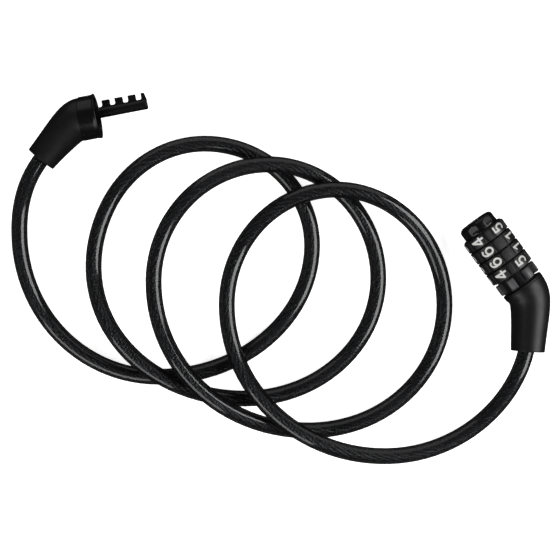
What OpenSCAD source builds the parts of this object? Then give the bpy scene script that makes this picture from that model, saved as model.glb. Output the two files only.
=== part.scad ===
// Combination cable lock: a toothed key head and a four-dial lock head on a
// sheathed steel cable that lies in spread loops. Millimetres, +Z up, the
// origin on the floor midway between the two heads.

/* [Cable] */
// Outer diameter of the plastic sheath
cable_d = 8.6; // [7:0.1:9]
// Diameter of the twisted steel core
core_d = 6; // [4:0.5:6.5]
// Straight run of the cable in each head, up to the metal elbow
cable_grip = 8; // [6:0.5:10]

/* [Dials] */
// Angle of the shown digits from straight up, positive towards the far side
shown_angle = -28; // [-34:1:-22]
// Diameter of a dial over its pads
dial_d = 24.8; // [24:0.2:27]
// Distance from one dial to the next
dial_pitch = 7; // [6.6:0.1:7.6]
// Gap between two dials
dial_gap = 0.3; // [0.2:0.1:0.5]
// Length of a number pad around the dial
pad_len = 8.4; // [7.6:0.2:8.8]
// Radius of the groove at each end of a pad
groove_r = 0.5; // [0.3:0.1:0.7]
// Chamfer at the rims of a dial
dial_chamfer = 0.6; // [0.2:0.1:1]
// Chamfer at the front of the first dial, towards the end cap
front_chamfer = 1.4; // [0.6:0.1:2]
// Radial thickness of a dial from its bore to its pads
dial_wall = 3.4; // [2.8:0.1:3.8]

/* [Code wheels] */
// Axial thickness of the gate web inside a wheel
web_t = 2.4; // [2:0.1:2.6]
// Distance from the front of a wheel to its web
web_inset = 0.7; // [0.5:0.1:1.2]
// Width of the drive ribs that a dial turns the wheel by
drive_w = 1.6; // [1.2:0.1:2.2]
// Height of the drive ribs
drive_h = 0.5; // [0.3:0.1:0.8]

/* [Barrel] */
// Outer diameter of the barrel tube
barrel_d = 10; // [9.8:0.1:10.4]
// Depth of the keyway past the front of the first dial
keyway_depth = 28.3; // [27.8:0.1:29]
// Length of the barrel that stands in the lock elbow
barrel_tail = 4.2; // [3.4:0.1:5]

/* [Key] */
// Diameter of the key's round shank
key_d = 5.6; // [5.2:0.1:5.8]
// Distance of the shank from the head's axis, towards the teeth
key_offset = 1.4; // [1.2:0.1:1.6]
// Height of the teeth above the shank
tooth_h = 3.3; // [2.6:0.1:3.4]
// Thickness of the toothed fin
fin_t = 3; // [2.4:0.1:3.2]
// Width of the notch between two teeth
notch_w = 2.9; // [2.8:0.1:3.4]
// Distance from the collar's lip to the middle of the first notch
first_notch = 1.9; // [1.9:0.1:2.2]
// Length of the last tooth in front of the last notch
tip_tooth = 2.6; // [1.6:0.1:3]

/* [Key collar] */
// Outer diameter of the collar behind its lip
collar_d = 23.2; // [22.8:0.2:24]
// Outer diameter of the flared lip
lip_d = 24.2; // [24:0.2:25]
// Length of the flare behind the lip
lip_len = 1.8; // [1:0.2:3]
// Length of the collar on the head's axis
collar_len = 9.2; // [9.2:0.2:11]
// Depth of the cup
cup_depth = 6.6; // [6.3:0.1:6.8]
// Wall of the cup
cup_wall = 1.3; // [1:0.1:1.6]
// Thickness of the cup's floor
cup_floor = 2; // [1.5:0.1:2.2]
// Slant of the seam between collar and boot, in degrees
seam_tilt = 4; // [0:1:8]

/* [End cap] */
// Gap between the cap and the cup that it enters
cap_gap = 0.3; // [0.2:0.1:0.6]
// Length of the cap in front of the first dial
cap_len = 6.2; // [6:0.1:6.5]
// Rounding of the cap's front edge
cap_round = 2.6; // [1:0.2:3]

/* [Index ring] */
// Length of the index ring
ring_len = 9.2; // [8:0.2:10]
// Diameter over the raised blocks
block_d = 24; // [23.4:0.2:24.6]
// Width of a raised block
block_w = 4.5; // [3.5:0.1:5.5]
// Length of a raised block
block_len = 6.2; // [5.6:0.2:6.4]
// Distance from the last dial to the raised blocks
block_inset = 0.7; // [0.3:0.1:0.9]
// Angle from one raised block to the next
block_step = 56; // [52:1:60]
// Diameter of the deep floor between the blocks
ring_floor_d = 17.6; // [16:0.2:19]

/* [Boots] */
// Bend of the key boot, in degrees
key_bend = 40; // [34:1:44]
// Key boot from its bend to its mouth
key_arm = 26.5; // [25:0.5:30]
// Diameter of the key boot at its mouth
key_mouth_d = 16.4; // [15:0.2:18]
// Key boot from its seam to its bend
key_neck = 4.7; // [4:0.1:5.4]
// Bend of the lock boot, in degrees
lock_bend = 40; // [34:1:44]
// Lock boot from its bend to its mouth
lock_arm = 28.7; // [27:0.1:32]
// Diameter of the lock boot at its mouth
lock_mouth_d = 17.8; // [16.6:0.2:19]
// Lock boot from the index ring to its bend
lock_neck = 7.1; // [6.6:0.1:8]
// Step from the collar or the ring down to its boot
boot_step = 0.3; // [0.1:0.1:0.6]
// Angle that each side of a boot closes in by at its mouth
boot_taper = 2.6; // [1:0.2:5]

/* [Boot curves] */
// Reach of the key boot's outer curve from its seam
key_shoulder = 10.2; // [8.4:0.2:12]
// Reach of the key boot's outer curve from its mouth
key_flank = 20.8; // [18:0.2:23]
// Reach of the key boot's inner curve from its seam
key_crotch = 1.5; // [1:0.1:3]
// Reach of the key boot's inner curve from its mouth
key_underside = 8; // [6:0.5:12]
// Reach of the lock boot's outer curve from the index ring
lock_shoulder = 13.4; // [11:0.2:15]
// Reach of the lock boot's outer curve from its mouth
lock_flank = 22.2; // [19:0.2:25]
// Reach of the lock boot's inner curve from the index ring
lock_crotch = 4.5; // [3:0.1:6]
// Reach of the lock boot's inner curve from its mouth
lock_underside = 30; // [24:0.5:32]

/* [Elbows] */
// Diameter of the metal elbows around the key's and the barrel's axis
elbow_d = 13.4; // [12.6:0.2:14]
// Diameter of the elbows around the ferrules
socket_d = 10.4; // [9.6:0.2:11]
// Outer diameter of the crimped ferrules
ferrule_d = 7.4; // [7:0.1:7.8]
// Length of the crimped ferrules
ferrule_len = 8; // [6.5:0.1:8.4]
// Diameter of the cross pins
pin_d = 1.8; // [1.4:0.1:2.2]

/* [Detents] */
// Width of the detent leaf
leaf_w = 2; // [1.6:0.1:2.4]
// Thickness of the detent leaf
leaf_t = 0.3; // [0.2:0.05:0.4]

/* [Fits] */
// Radial gap of pieces that are pressed or pinned together
fit_gap = 0.03; // [0.02:0.01:0.06]
// Radial gap of pieces that turn or slide
run_gap = 0.08; // [0.06:0.01:0.1]
// Gap around the key's fin in every gate
gate_gap = 0.2; // [0.15:0.05:0.3]

/* [Placement] */
// Direction of the key's axis seen from above, in degrees
key_yaw = 10.7; // [0:0.1:25]
// Middle of the collar's lip, left to right
key_x = -101.7; // [-110:0.1:-95]
// Middle of the collar's lip, near to far
key_y = 56.9; // [50:0.1:65]
// Direction from the lock's front to its boot, in degrees
lock_yaw = -53.5; // [-70:0.1:-45]
// Middle of the lock's front, left to right
lock_x = 97.8; // [92:0.1:105]
// Middle of the lock's front, near to far
lock_y = 1.3; // [-5:0.1:8]

/* [Hidden] */
$fn = 64;

dial_count = 4;
places = 6;            // numbered places on a dial
SHOWN = [4, 6, 6, 4];  // digits in line with each other, front dial first
LEAD = [5, 0, 0, 8];   // degrees that a dial's digits stand past the line
// Turn of each digit from digit 1, in degrees, with the longest step last
DIGIT_AT = [0, 47, 95, 156, 220, 284];
slack = 0.02;          // how far a cutter runs past what it cuts
tiny_chamfer = 0.35;   // broken edges of moulded and turned pieces

// Colours
satin_black = "#1b1b1c";
gloss_black = "#0d0d0e";
ring_grey = "#3a3a3c";
smoke = "#202022";
steel = "#8d9094";
brass = "#a58b52";
spring_steel = "#6f7276";

// Heights of the two axes above the floor
lock_z = dial_d / 2;
key_z = lip_d / 2;

// Lock head, lengths counted from its front towards its boot
dials_at = cap_len;
ring_at = dials_at + dial_count * dial_pitch;
boot_at = ring_at + ring_len;
keyway_end = dials_at + keyway_depth;
barrel_end = boot_at + barrel_tail;
lock_corner = boot_at + lock_neck;

// Radii that one piece takes from another
barrel_r = barrel_d / 2;
keyway_r = key_d / 2 + gate_gap;
gate_w = fin_t + 2 * gate_gap;
gate_r = key_offset + key_d / 2 + tooth_h + 2 * gate_gap;
recess_r = norm([gate_r, gate_w / 2]) + run_gap;
dial_bore_r = dial_d / 2 - dial_wall;
wheel_r = dial_bore_r - run_gap;
cup_r = collar_d / 2 - cup_wall;
cap_r = cup_r - cap_gap;

// Key head, lengths counted from the collar's lip back towards the boot
key_corner = collar_len + key_neck;
blade_root = key_corner + 0.8;
key_reach = first_notch + (dial_count - 1) * dial_pitch + notch_w / 2
    + tip_tooth;
elbow_front = cup_depth + cup_floor;

// Where the cable starts its bend towards the coil, inside each mouth
key_lead_in = 6;
lock_lead_in = 10;

// The loops: turning points of the centre line seen from above, in the order
// left, near, right and far of each loop
TURNS = [
    [-144.5, -6], [-70.5, -82], [12, -11.5], [-45.5, 43],
    [-104.5, -20.5], [-23.5, -93.5], [47.5, -29], [-10.5, 31],
    [-72, -30], [12, -110.5], [83, -43.5], [24, 17.5],
    [-33.5, -43], [52.5, -123.5]];
// Lengths of the pull along the tangent where the cable leaves the heads
key_pull = 12;
left_pull = 22;
near_pull = 45;
lock_pull = 30;
// Rises of the centre line over the floor: quarter turn, cable diameters
RISES = [
    [1.4, 0], [4.7, 0], [5.4, 1.4], [6.2, 0], [7.2, 0], [8.2, 1.3],
    [8.8, 1], [9.4, 1.85], [10.2, 0], [11, 0], [12, 1.52], [12.7, 0.45],
    [13.6, 1.68], [14.3, 0.4]];
rings_per_turn = 24;
rings_per_quarter = rings_per_turn / 4;
cable_sides = 8;
sheath_gap = 0.12;     // between the core and the sheath
boot_hug = 0.25;       // between the sheath and the boots

// ---------------------------------------------------------------- placing

module at_key() {
    translate([key_x, key_y, key_z]) rotate([0, 0, key_yaw])
        rotate([0, 90, 0]) children();
}

module at_lock() {
    translate([lock_x, lock_y, lock_z]) rotate([0, 0, lock_yaw])
        rotate([0, 90, 0]) children();
}

// The same two placements for a point [x, y, z] of a head
function head_point(p, yaw, at) = [
    at[0] + p[2] * cos(yaw) - p[1] * sin(yaw),
    at[1] + p[2] * sin(yaw) + p[1] * cos(yaw),
    at[2] - p[0]];
function key_point(y, z) = head_point([0, y, z], key_yaw,
    [key_x, key_y, key_z]);
function lock_point(y, z) = head_point([0, y, z], lock_yaw,
    [lock_x, lock_y, lock_z]);

// A point of a boot's axis past its bend, at a distance along the arm
function key_axis_point(d) = key_point(-d * sin(key_bend),
    -key_corner - d * cos(key_bend));
function lock_axis_point(d) = lock_point(-d * sin(lock_bend),
    lock_corner + d * cos(lock_bend));

// ------------------------------------------------------------- the route

function unit(v) = v / norm(v);
function pull_curve(a, b, c, d, t) = pow(1 - t, 3) * a
    + 3 * t * pow(1 - t, 2) * b + 3 * t * t * (1 - t) * c + pow(t, 3) * d;

key_axis_dir = unit(key_axis_point(1) - key_axis_point(0));
lock_axis_dir = unit(lock_axis_point(1) - lock_axis_point(0));
key_start = key_axis_point(key_arm - key_lead_in);
lock_start = lock_axis_point(lock_arm - lock_lead_in);
last_turn = len(TURNS) - 1;

function flat(p) = [p[0], p[1]];

// Plan of the centre line, at q quarter turns
function key_lead(t) = pull_curve(flat(key_start),
    flat(key_start) + key_pull * flat(key_axis_dir),
    TURNS[0] + [0, left_pull], TURNS[0], t);
function lock_lead(t) = pull_curve(TURNS[last_turn],
    TURNS[last_turn] + [near_pull, 0],
    flat(lock_start) + lock_pull * flat(lock_axis_dir),
    flat(lock_start), t);
function quarter_arc(i, t) = let (a = TURNS[i], b = TURNS[i + 1])
    i % 2 == 0
        ? [b[0] + (a[0] - b[0]) * cos(90 * t),
           a[1] + (b[1] - a[1]) * sin(90 * t)]
        : [a[0] + (b[0] - a[0]) * sin(90 * t),
           b[1] + (a[1] - b[1]) * cos(90 * t)];
function plan(q) = let (i = floor(q) - 1)
    q < 1 ? key_lead(q)
    : q >= last_turn + 1 ? lock_lead(min(1, q - last_turn - 1))
    : quarter_arc(i, q - 1 - i);

// Height of the centre line, at q quarter turns
end_q = last_turn + 2;
CLIMB = concat([[0, key_z / cable_d - 0.5], [0.3, key_z / cable_d - 0.5]],
    RISES, [[end_q - 0.12, lock_z / cable_d - 0.5],
    [end_q, lock_z / cable_d - 0.5]]);
function ease(t) = (1 - cos(180 * t)) / 2;
function rise(q, i = 0) = q > CLIMB[i + 1][0] && i < len(CLIMB) - 2
    ? rise(q, i + 1)
    : CLIMB[i][1] + (CLIMB[i + 1][1] - CLIMB[i][1])
        * ease((q - CLIMB[i][0]) / (CLIMB[i + 1][0] - CLIMB[i][0]));
function centre(q) = concat(plan(q), cable_d * (0.5 + rise(q)));

// Ring places: closer together in the leads, even around the loops
lead_rings = 11;
LEAD_QS = [for (k = [0 : lead_rings - 1]) k / lead_rings];
LOOP_QS = [for (k = [0 : last_turn * rings_per_quarter])
    1 + k / rings_per_quarter];
END_QS = [for (k = [1 : lead_rings]) end_q - 1 + k / lead_rings];
FREE = [for (q = concat(LEAD_QS, LOOP_QS, END_QS)) centre(q)];
key_stop = key_start - cable_grip * key_axis_dir;
lock_stop = lock_start - cable_grip * lock_axis_dir;
ROUTE = concat([key_stop], FREE, [lock_stop]);

// Length of the centre line and least gap between two of its loops
function clamped(x) = min(1, max(0, x));
function run_gap_between(a, b, c, d) = let (u = b - a, v = d - c, w = a - c,
    uu = u * u, vv = v * v, uv = u * v, cross_size = uu * vv - uv * uv,
    s0 = cross_size < slack ? 0
        : clamped((uv * (v * w) - vv * (u * w)) / cross_size),
    t = clamped((uv * s0 + v * w) / vv),
    s = clamped((uv * t - u * w) / uu))
    norm(a + s * u - c - t * v);
apart = rings_per_quarter;
least_gap = min([for (i = [0 : len(ROUTE) - 2 - apart])
    for (j = [i + apart : len(ROUTE) - 2])
        run_gap_between(ROUTE[i], ROUTE[i + 1], ROUTE[j], ROUTE[j + 1])])
    - cable_d;
function run_length(i = 0) = i > len(ROUTE) - 2 ? 0
    : norm(ROUTE[i + 1] - ROUTE[i]) + run_length(i + 1);
echo(cable_length = run_length(), least_gap = least_gap);

// --------------------------------------------------------- swept shapes

// Direction of a path at one of its points
function heading(path, i) = let (n = len(path) - 1)
    i == 0 ? unit(path[1] - path[0])
    : i == n ? unit(path[n] - path[n - 1])
    : unit(unit(path[i] - path[i - 1]) + unit(path[i + 1] - path[i]));

// One ring of a tube, its corners up, down and to the sides
function ring_points(path, i, r) = let (t = heading(path, i),
    side = unit(cross([0, 0, 1], t)), up = cross(t, side))
    [for (k = [0 : cable_sides - 1]) let (a = 360 * k / cable_sides)
        path[i] + r * (cos(a) * side + sin(a) * up)];

// Triangles between consecutive rings of n points, from point number start
function skin(rings, n, start, inward = false) = [
    for (i = [0 : rings - 2]) for (k = [0 : n - 1])
        let (a = start + i * n + k, b = start + i * n + (k + 1) % n,
            c = a + n, d = b + n)
        for (f = inward ? [[a, b, d], [a, d, c]] : [[a, d, b], [a, c, d]]) f];

module rod(path, r) {
    n = cable_sides;
    last = len(path) - 1;
    polyhedron(
        points = [for (i = [0 : last]) each ring_points(path, i, r)],
        faces = concat(skin(last + 1, n, 0),
            [for (k = [1 : n - 2]) [0, k, k + 1]],
            [for (k = [1 : n - 2])
                [last * n, last * n + k + 1, last * n + k]]));
}

module hose(path, r, bore_r) {
    n = cable_sides;
    last = len(path) - 1;
    inner = (last + 1) * n;
    polyhedron(
        points = [for (radius = [r, bore_r]) for (i = [0 : last])
            each ring_points(path, i, radius)],
        faces = concat(skin(last + 1, n, 0),
            skin(last + 1, n, inner, inward = true),
            [for (k = [0 : n - 1]) for (f = [
                [k, (k + 1) % n, inner + (k + 1) % n],
                [k, inner + (k + 1) % n, inner + k]]) f],
            [for (k = [0 : n - 1])
                let (o = last * n, m = inner + last * n) for (f = [
                [o + k, m + (k + 1) % n, o + (k + 1) % n],
                [o + k, m + k, m + (k + 1) % n]]) f]));
}

// Boot: round sections that each span its outer and its inner side, which
// lags behind the outer one round the bend
boot_rings = 14;
boot_sides = 32;
key_lag = 1.8;
lock_lag = 1;

module boot_skin(front_r, tilt, bend, neck, arm, mouth_r, shoulder, flank,
        crotch, underside, lag) {
    mouth = [-arm * sin(bend), neck + arm * cos(bend)];
    across = [cos(bend), sin(bend)];
    outer_dir = [sin(bend + boot_taper), -cos(bend + boot_taper)];
    inner_dir = [sin(bend - boot_taper), -cos(bend - boot_taper)];
    outer_0 = [front_r * cos(tilt), -front_r * sin(tilt)];
    inner_0 = [-front_r * cos(tilt), front_r * sin(tilt)];
    outer_3 = mouth + mouth_r * across;
    inner_3 = mouth - mouth_r * across;
    sections = [for (i = [0 : boot_rings - 1]) let (t = i / (boot_rings - 1))
        [pull_curve(outer_0, outer_0 + [0, shoulder],
            outer_3 + flank * outer_dir, outer_3, t),
         pull_curve(inner_0, inner_0 + [0, crotch],
            inner_3 + underside * inner_dir, inner_3, pow(t, lag))]];
    n = boot_sides;
    last = boot_rings - 1;
    polyhedron(
        points = [for (s = sections)
            let (mid = (s[0] + s[1]) / 2, half = (s[0] - s[1]) / 2)
            for (k = [0 : n - 1]) let (a = 360 * k / n)
                [norm(half) * sin(a), mid[0] + half[0] * cos(a),
                 mid[1] + half[1] * cos(a)]],
        faces = concat(skin(boot_rings, n, 0, inward = true),
            [for (k = [1 : n - 2]) [0, k + 1, k]],
            [for (k = [1 : n - 2])
                [last * n, last * n + k, last * n + k + 1]]));
}

// A rod along a head's axis up to its bend and on along the arm
module bent_bar(front, corner, bend, reach, main_r, arm_r) {
    translate([0, 0, front]) cylinder(r = main_r, h = corner - front);
    translate([0, 0, corner]) intersection() {
        sphere(r = main_r);
        translate([-main_r, -main_r, front - corner])
            cube(2 * main_r + corner - front);
    }
    translate([0, 0, corner]) rotate([bend, 0, 0])
        cylinder(r = arm_r, h = reach);
}

// ------------------------------------------------------------- key head

key_reach_in = key_arm - key_lead_in - cable_grip;
lock_reach_in = lock_arm - lock_lead_in - cable_grip;

// The cable and a little room around it, at both ends of the route
module cable_room() {
    rod(ROUTE, cable_d / 2 + boot_hug);
}

module key_boot() {
    color(satin_black) difference() {
        at_key() rotate([180, 0, 0]) mirror([0, 1, 0])
            translate([0, 0, collar_len])
            boot_skin(collar_d / 2 - boot_step, seam_tilt, key_bend, key_neck,
                key_arm, key_mouth_d / 2, key_shoulder, key_flank,
                key_crotch, key_underside, key_lag);
        at_key() rotate([180, 0, 0]) mirror([0, 1, 0])
            bent_bar(elbow_front - 1, key_corner, key_bend,
                key_reach_in + fit_gap, elbow_d / 2 + run_gap,
                socket_d / 2 + run_gap);
        cable_room();
    }
}

module key_collar() {
    color(gloss_black) at_key() difference() {
        rotate_extrude() polygon([[0, -collar_len - collar_d],
            [collar_d / 2, -collar_len - collar_d],
            [collar_d / 2, -lip_len], [lip_d / 2, -tiny_chamfer],
            [lip_d / 2 - tiny_chamfer, 0], [0, 0]]);
        translate([0, 0, -cup_depth]) cylinder(r = cup_r, h = collar_len);
        translate([0, 0, -collar_len]) rotate([seam_tilt, 0, 0])
            translate([0, 0, -collar_d * 2])
            cube(collar_d * 4, center = true);
        translate([0, 0, -elbow_front - collar_d])
            cylinder(r = elbow_d / 2 + run_gap, h = collar_d);
        translate([0, key_offset, -elbow_front - slack])
            cylinder(r = key_d / 2 + fit_gap, h = cup_floor + 2 * slack);
    }
}

// Side view of the fin, drawn along the key with its teeth upwards
module fin_outline() {
    foot = key_offset;
    top = key_offset + key_d / 2 + tooth_h;
    slant = 0.8;
    difference() {
        polygon([[-cup_depth + fit_gap, foot], [key_reach, foot],
            [key_reach, top - tooth_h], [key_reach - slant, top],
            [-cup_depth + fit_gap, top]]);
        for (i = [0 : dial_count - 1])
            translate([first_notch + i * dial_pitch, 0]) notch_outline(top);
    }
}

// A notch with a round bottom
module notch_outline(top) {
    floor_y = top - tooth_h;
    corner = notch_w / 3;
    for (side = [-1, 1])
        translate([side * (notch_w / 2 - corner), floor_y + corner])
            circle(r = corner, $fn = 24);
    translate([-notch_w / 2 + corner, floor_y])
        square([notch_w - 2 * corner, corner]);
    translate([-notch_w / 2, floor_y + corner])
        square([notch_w, tooth_h]);
}

module key_blade() {
    tip_chamfer = 0.6;
    color(gloss_black) at_key() difference() {
        union() {
            translate([0, key_offset, -blade_root])
                cylinder(d = key_d, h = blade_root + key_reach - tip_chamfer);
            translate([0, key_offset, key_reach - tip_chamfer])
                cylinder(d1 = key_d, d2 = key_d - 2 * tip_chamfer,
                    h = tip_chamfer);
            translate([fin_t / 2, 0, 0]) rotate([0, -90, 0])
                linear_extrude(fin_t) fin_outline();
        }
        key_pin_shape(fit_gap);
    }
}

key_pin_at = (elbow_front + key_corner) / 2;

module key_pin_shape(gap) {
    translate([-elbow_d / 2 + tiny_chamfer - gap, key_offset, -key_pin_at])
        rotate([0, 90, 0])
        cylinder(d = pin_d + 2 * gap, h = elbow_d - 2 * tiny_chamfer
            + 2 * gap);
}

module key_pin() {
    color(steel) at_key() key_pin_shape(0);
}

module key_elbow() {
    color(steel) at_key() difference() {
        rotate([180, 0, 0]) mirror([0, 1, 0])
            bent_bar(elbow_front, key_corner, key_bend, key_reach_in,
                elbow_d / 2, socket_d / 2);
        translate([0, key_offset, -blade_root - fit_gap])
            cylinder(r = key_d / 2 + fit_gap, h = blade_root);
        rotate([180, 0, 0]) mirror([0, 1, 0])
            translate([0, 0, key_corner]) rotate([key_bend, 0, 0])
            translate([0, 0, key_reach_in - ferrule_len - fit_gap])
            cylinder(r = ferrule_d / 2 + fit_gap, h = ferrule_len * 2);
        translate([0, key_offset, -key_pin_at]) rotate([0, 90, 0])
            cylinder(d = pin_d + 2 * fit_gap, h = elbow_d * 2,
                center = true);
    }
}

// A crimped sleeve whose mouth faces the cable
module ferrule_shape() {
    difference() {
        cylinder(d = ferrule_d, h = ferrule_len);
        translate([0, 0, 1])
            cylinder(r = core_d / 2 + fit_gap, h = ferrule_len);
    }
}

module key_ferrule() {
    color(brass) at_key() rotate([180, 0, 0]) mirror([0, 1, 0])
        translate([0, 0, key_corner]) rotate([key_bend, 0, 0])
        translate([0, 0, key_reach_in - ferrule_len]) ferrule_shape();
}

// ---------------------------------------------------------------- cable

module cable_sheath() {
    color(smoke) hose(ROUTE, cable_d / 2, core_d / 2 + sheath_gap);
}

module cable_core() {
    // The core runs on past the sheath, almost to the end of each ferrule
    bite = ferrule_len - 1.2;
    path = concat([key_stop - bite * key_axis_dir], ROUTE,
        [lock_stop - bite * lock_axis_dir]);
    color(steel) rod(path, core_d / 2);
}

// ------------------------------------------------------------ lock head

module lock_boot() {
    color(satin_black) difference() {
        at_lock() translate([0, 0, boot_at])
            boot_skin(block_d / 2 - boot_step, 0, lock_bend, lock_neck,
                lock_arm, lock_mouth_d / 2, lock_shoulder, lock_flank,
                lock_crotch, lock_underside, lock_lag);
        at_lock() bent_bar(boot_at - 1, lock_corner, lock_bend,
            lock_reach_in + fit_gap, elbow_d / 2 + run_gap,
            socket_d / 2 + run_gap);
        cable_room();
    }
}

lock_pin_at = boot_at + barrel_tail / 2;

module lock_pin() {
    color(steel) at_lock() translate([0, 0, lock_pin_at])
        rotate([0, 90, 0]) cylinder(d = pin_d,
            h = elbow_d - 2 * tiny_chamfer, center = true);
}

module lock_pin_hole() {
    translate([0, 0, lock_pin_at]) rotate([0, 90, 0])
        cylinder(d = pin_d + 2 * fit_gap, h = elbow_d * 2, center = true);
}

module lock_elbow() {
    color(steel) at_lock() difference() {
        bent_bar(boot_at, lock_corner, lock_bend, lock_reach_in,
            elbow_d / 2, socket_d / 2);
        translate([0, 0, boot_at - slack])
            cylinder(r = barrel_r + fit_gap, h = barrel_tail + fit_gap
                + slack);
        translate([0, 0, lock_corner]) rotate([lock_bend, 0, 0])
            translate([0, 0, lock_reach_in - ferrule_len - fit_gap])
            cylinder(r = ferrule_d / 2 + fit_gap, h = ferrule_len * 2);
        lock_pin_hole();
    }
}

module lock_ferrule() {
    color(brass) at_lock() translate([0, 0, lock_corner])
        rotate([lock_bend, 0, 0])
        translate([0, 0, lock_reach_in - ferrule_len]) ferrule_shape();
}

// Front of each wheel and the middle of its web, along the lock's axis
function wheel_at(i) = dials_at + i * dial_pitch + dial_gap / 2;
function web_middle(i) = wheel_at(i) + web_inset + web_t / 2;

// The gate, on the side of the barrel that faces up
module gate(r, w, from, to) {
    translate([-r, -w / 2, from]) cube([r, w, to - from]);
}

leaf_groove_r = barrel_r - leaf_t - 1.1;
leaf_floor_r = leaf_groove_r + fit_gap;
clip_t = 0.8;
cap_stand_off = 0.1;   // between the cap and the first wheel
clip_at = dials_at - clip_t - cap_stand_off;
clip_groove = 0.5;

module lock_barrel() {
    color(steel) at_lock() difference() {
        translate([0, 0, tiny_chamfer])
            cylinder(r = barrel_r, h = barrel_end - tiny_chamfer);
        translate([-key_offset, 0, -slack])
            cylinder(r = keyway_r, h = keyway_end + slack);
        gate(barrel_r + 1, gate_w, -slack, keyway_end);
        translate([leaf_groove_r, -leaf_w / 2 - run_gap, dials_at])
            cube([barrel_r, leaf_w + 2 * run_gap, ring_at - dials_at]);
        translate([0, 0, clip_at - fit_gap]) difference() {
            cylinder(r = barrel_r + 1, h = clip_t + 2 * fit_gap);
            cylinder(r = barrel_r - clip_groove, h = clip_t + 1);
        }
        lock_pin_hole();
    }
}

// C-shaped clip in the barrel's groove, open towards the gate
module retaining_clip() {
    clip_r = barrel_r + 1.2;
    mouth_w = gate_w + 2;
    color(spring_steel) at_lock() translate([0, 0, clip_at]) difference() {
        cylinder(r = clip_r, h = clip_t);
        translate([0, 0, -slack])
            cylinder(r = barrel_r - clip_groove + fit_gap, h = clip_t * 2);
        gate(clip_r * 2, mouth_w, -slack, clip_t * 2);
    }
}

module end_cap() {
    front_r = cap_r - cap_round;
    dish = 0.5;
    clip_room = barrel_r + 1.5;
    color(gloss_black) at_lock() difference() {
        rotate_extrude() {
            translate([front_r, cap_round]) circle(r = cap_round);
            translate([0, cap_round])
                square([cap_r, cap_len - cap_round - cap_stand_off]);
            square([front_r, cap_round + slack]);
        }
        translate([0, 0, -slack])
            cylinder(r = barrel_r + fit_gap, h = cap_len + 1);
        gate(gate_r, gate_w, -slack, cap_len + 1);
        translate([0, 0, clip_at - 0.15])
            cylinder(r = clip_room, h = cap_len);
        translate([0, 0, -slack])
            cylinder(r1 = barrel_r + dish, r2 = barrel_r, h = dish);
    }
}

// A dial with six pads, each between two grooves
module dial(i) {
    rim = dial_chamfer;
    front_rim = i == 0 ? front_chamfer : rim;
    width = dial_pitch - dial_gap;
    outer_r = dial_d / 2;
    pad_angle = asin(pad_len / 2 / outer_r);
    color(gloss_black) at_lock() translate([0, 0, wheel_at(i)])
        difference() {
        rotate_extrude() polygon([[dial_bore_r, 0],
            [outer_r - front_rim, 0], [outer_r, front_rim],
            [outer_r, width - rim], [outer_r - rim, width],
            [dial_bore_r, width]]);
        for (d = [1 : places]) for (side = [-1, 1])
            rotate([0, 0, digit_turn(i, d) + side * pad_angle])
                translate([outer_r, 0, -slack])
                cylinder(r = groove_r, h = width + 1, $fn = 24);
        translate([0, 0, -slack])
            drive_ribs(i, drive_h + run_gap, drive_w + 2 * run_gap, width + 1);
    }
}

// Turn that brings digit d of a dial to its place, and the same from the top
function digit_from_shown(i, d) = DIGIT_AT[d - 1] - DIGIT_AT[SHOWN[i] - 1];
function digit_turn(i, d) = 180 - shown_angle + LEAD[i]
    - digit_from_shown(i, d);
function block_turn(k) = 180 - shown_angle + k * block_step;

// The ribs of a wheel, each between two digits, and, grown by a gap, the
// slots in its dial
module drive_ribs(i, h, w, width) {
    for (d = [1 : places]) let (next = d < places ? DIGIT_AT[d] : 360)
        rotate([0, 0, digit_turn(i, d) - (next - DIGIT_AT[d - 1]) / 2])
            translate([wheel_r - drive_h, -w / 2, 0])
            cube([drive_h + h, w, width]);
}

module code_wheel(i) {
    width = dial_pitch - dial_gap;
    web_r = barrel_r + run_gap;
    dimple_r = 0.8;
    relief = 0.28;
    relief_w = 1.6;
    color(brass) at_lock() translate([0, 0, wheel_at(i)]) difference() {
        union() {
            cylinder(r = wheel_r, h = width);
            translate([0, 0, tiny_chamfer])
                drive_ribs(i, drive_h, drive_w, width - 2 * tiny_chamfer);
        }
        for (z = [-1, web_inset + web_t])
            translate([0, 0, z])
                cylinder(r = recess_r, h = z < 0 ? 1 + web_inset : width);
        translate([0, 0, -slack]) cylinder(r = web_r, h = width);
        translate([0, 0, web_inset + (web_t - relief_w) / 2])
            cylinder(r = web_r + relief, h = relief_w);
        gate(gate_r, gate_w, -slack, width);
        // A dimple for each digit, but for one that the gate stands in for
        for (d = [1 : places]) if (cos(digit_from_shown(i, d)) > -0.9)
            rotate([0, 0, -digit_from_shown(i, d)])
                translate([web_r, 0, web_inset + (web_t - relief_w) / 2])
                cylinder(r = dimple_r, h = relief_w, $fn = 24);
    }
}

// Leaf in the barrel's groove, with a hump under each wheel's web
module detent_spring() {
    hump_r = 1.3;
    leaf_ends = 0.4;
    hump_top = barrel_r + run_gap + 0.2;
    color(spring_steel) at_lock()
        translate([0, leaf_w / 2, 0]) rotate([90, 0, 0])
        linear_extrude(leaf_w) difference() {
            union() {
                translate([leaf_floor_r, dials_at + leaf_ends])
                    square([leaf_t, ring_at - dials_at - 2 * leaf_ends]);
                for (i = [0 : dial_count - 1])
                    translate([hump_top - hump_r, web_middle(i)])
                        circle(r = hump_r, $fn = 32);
            }
            for (i = [0 : dial_count - 1])
                translate([hump_top - hump_r, web_middle(i)])
                    circle(r = hump_r - leaf_t, $fn = 32);
            translate([leaf_floor_r - hump_r * 2, 0])
                square([hump_r * 2, ring_at]);
        }
}

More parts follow.
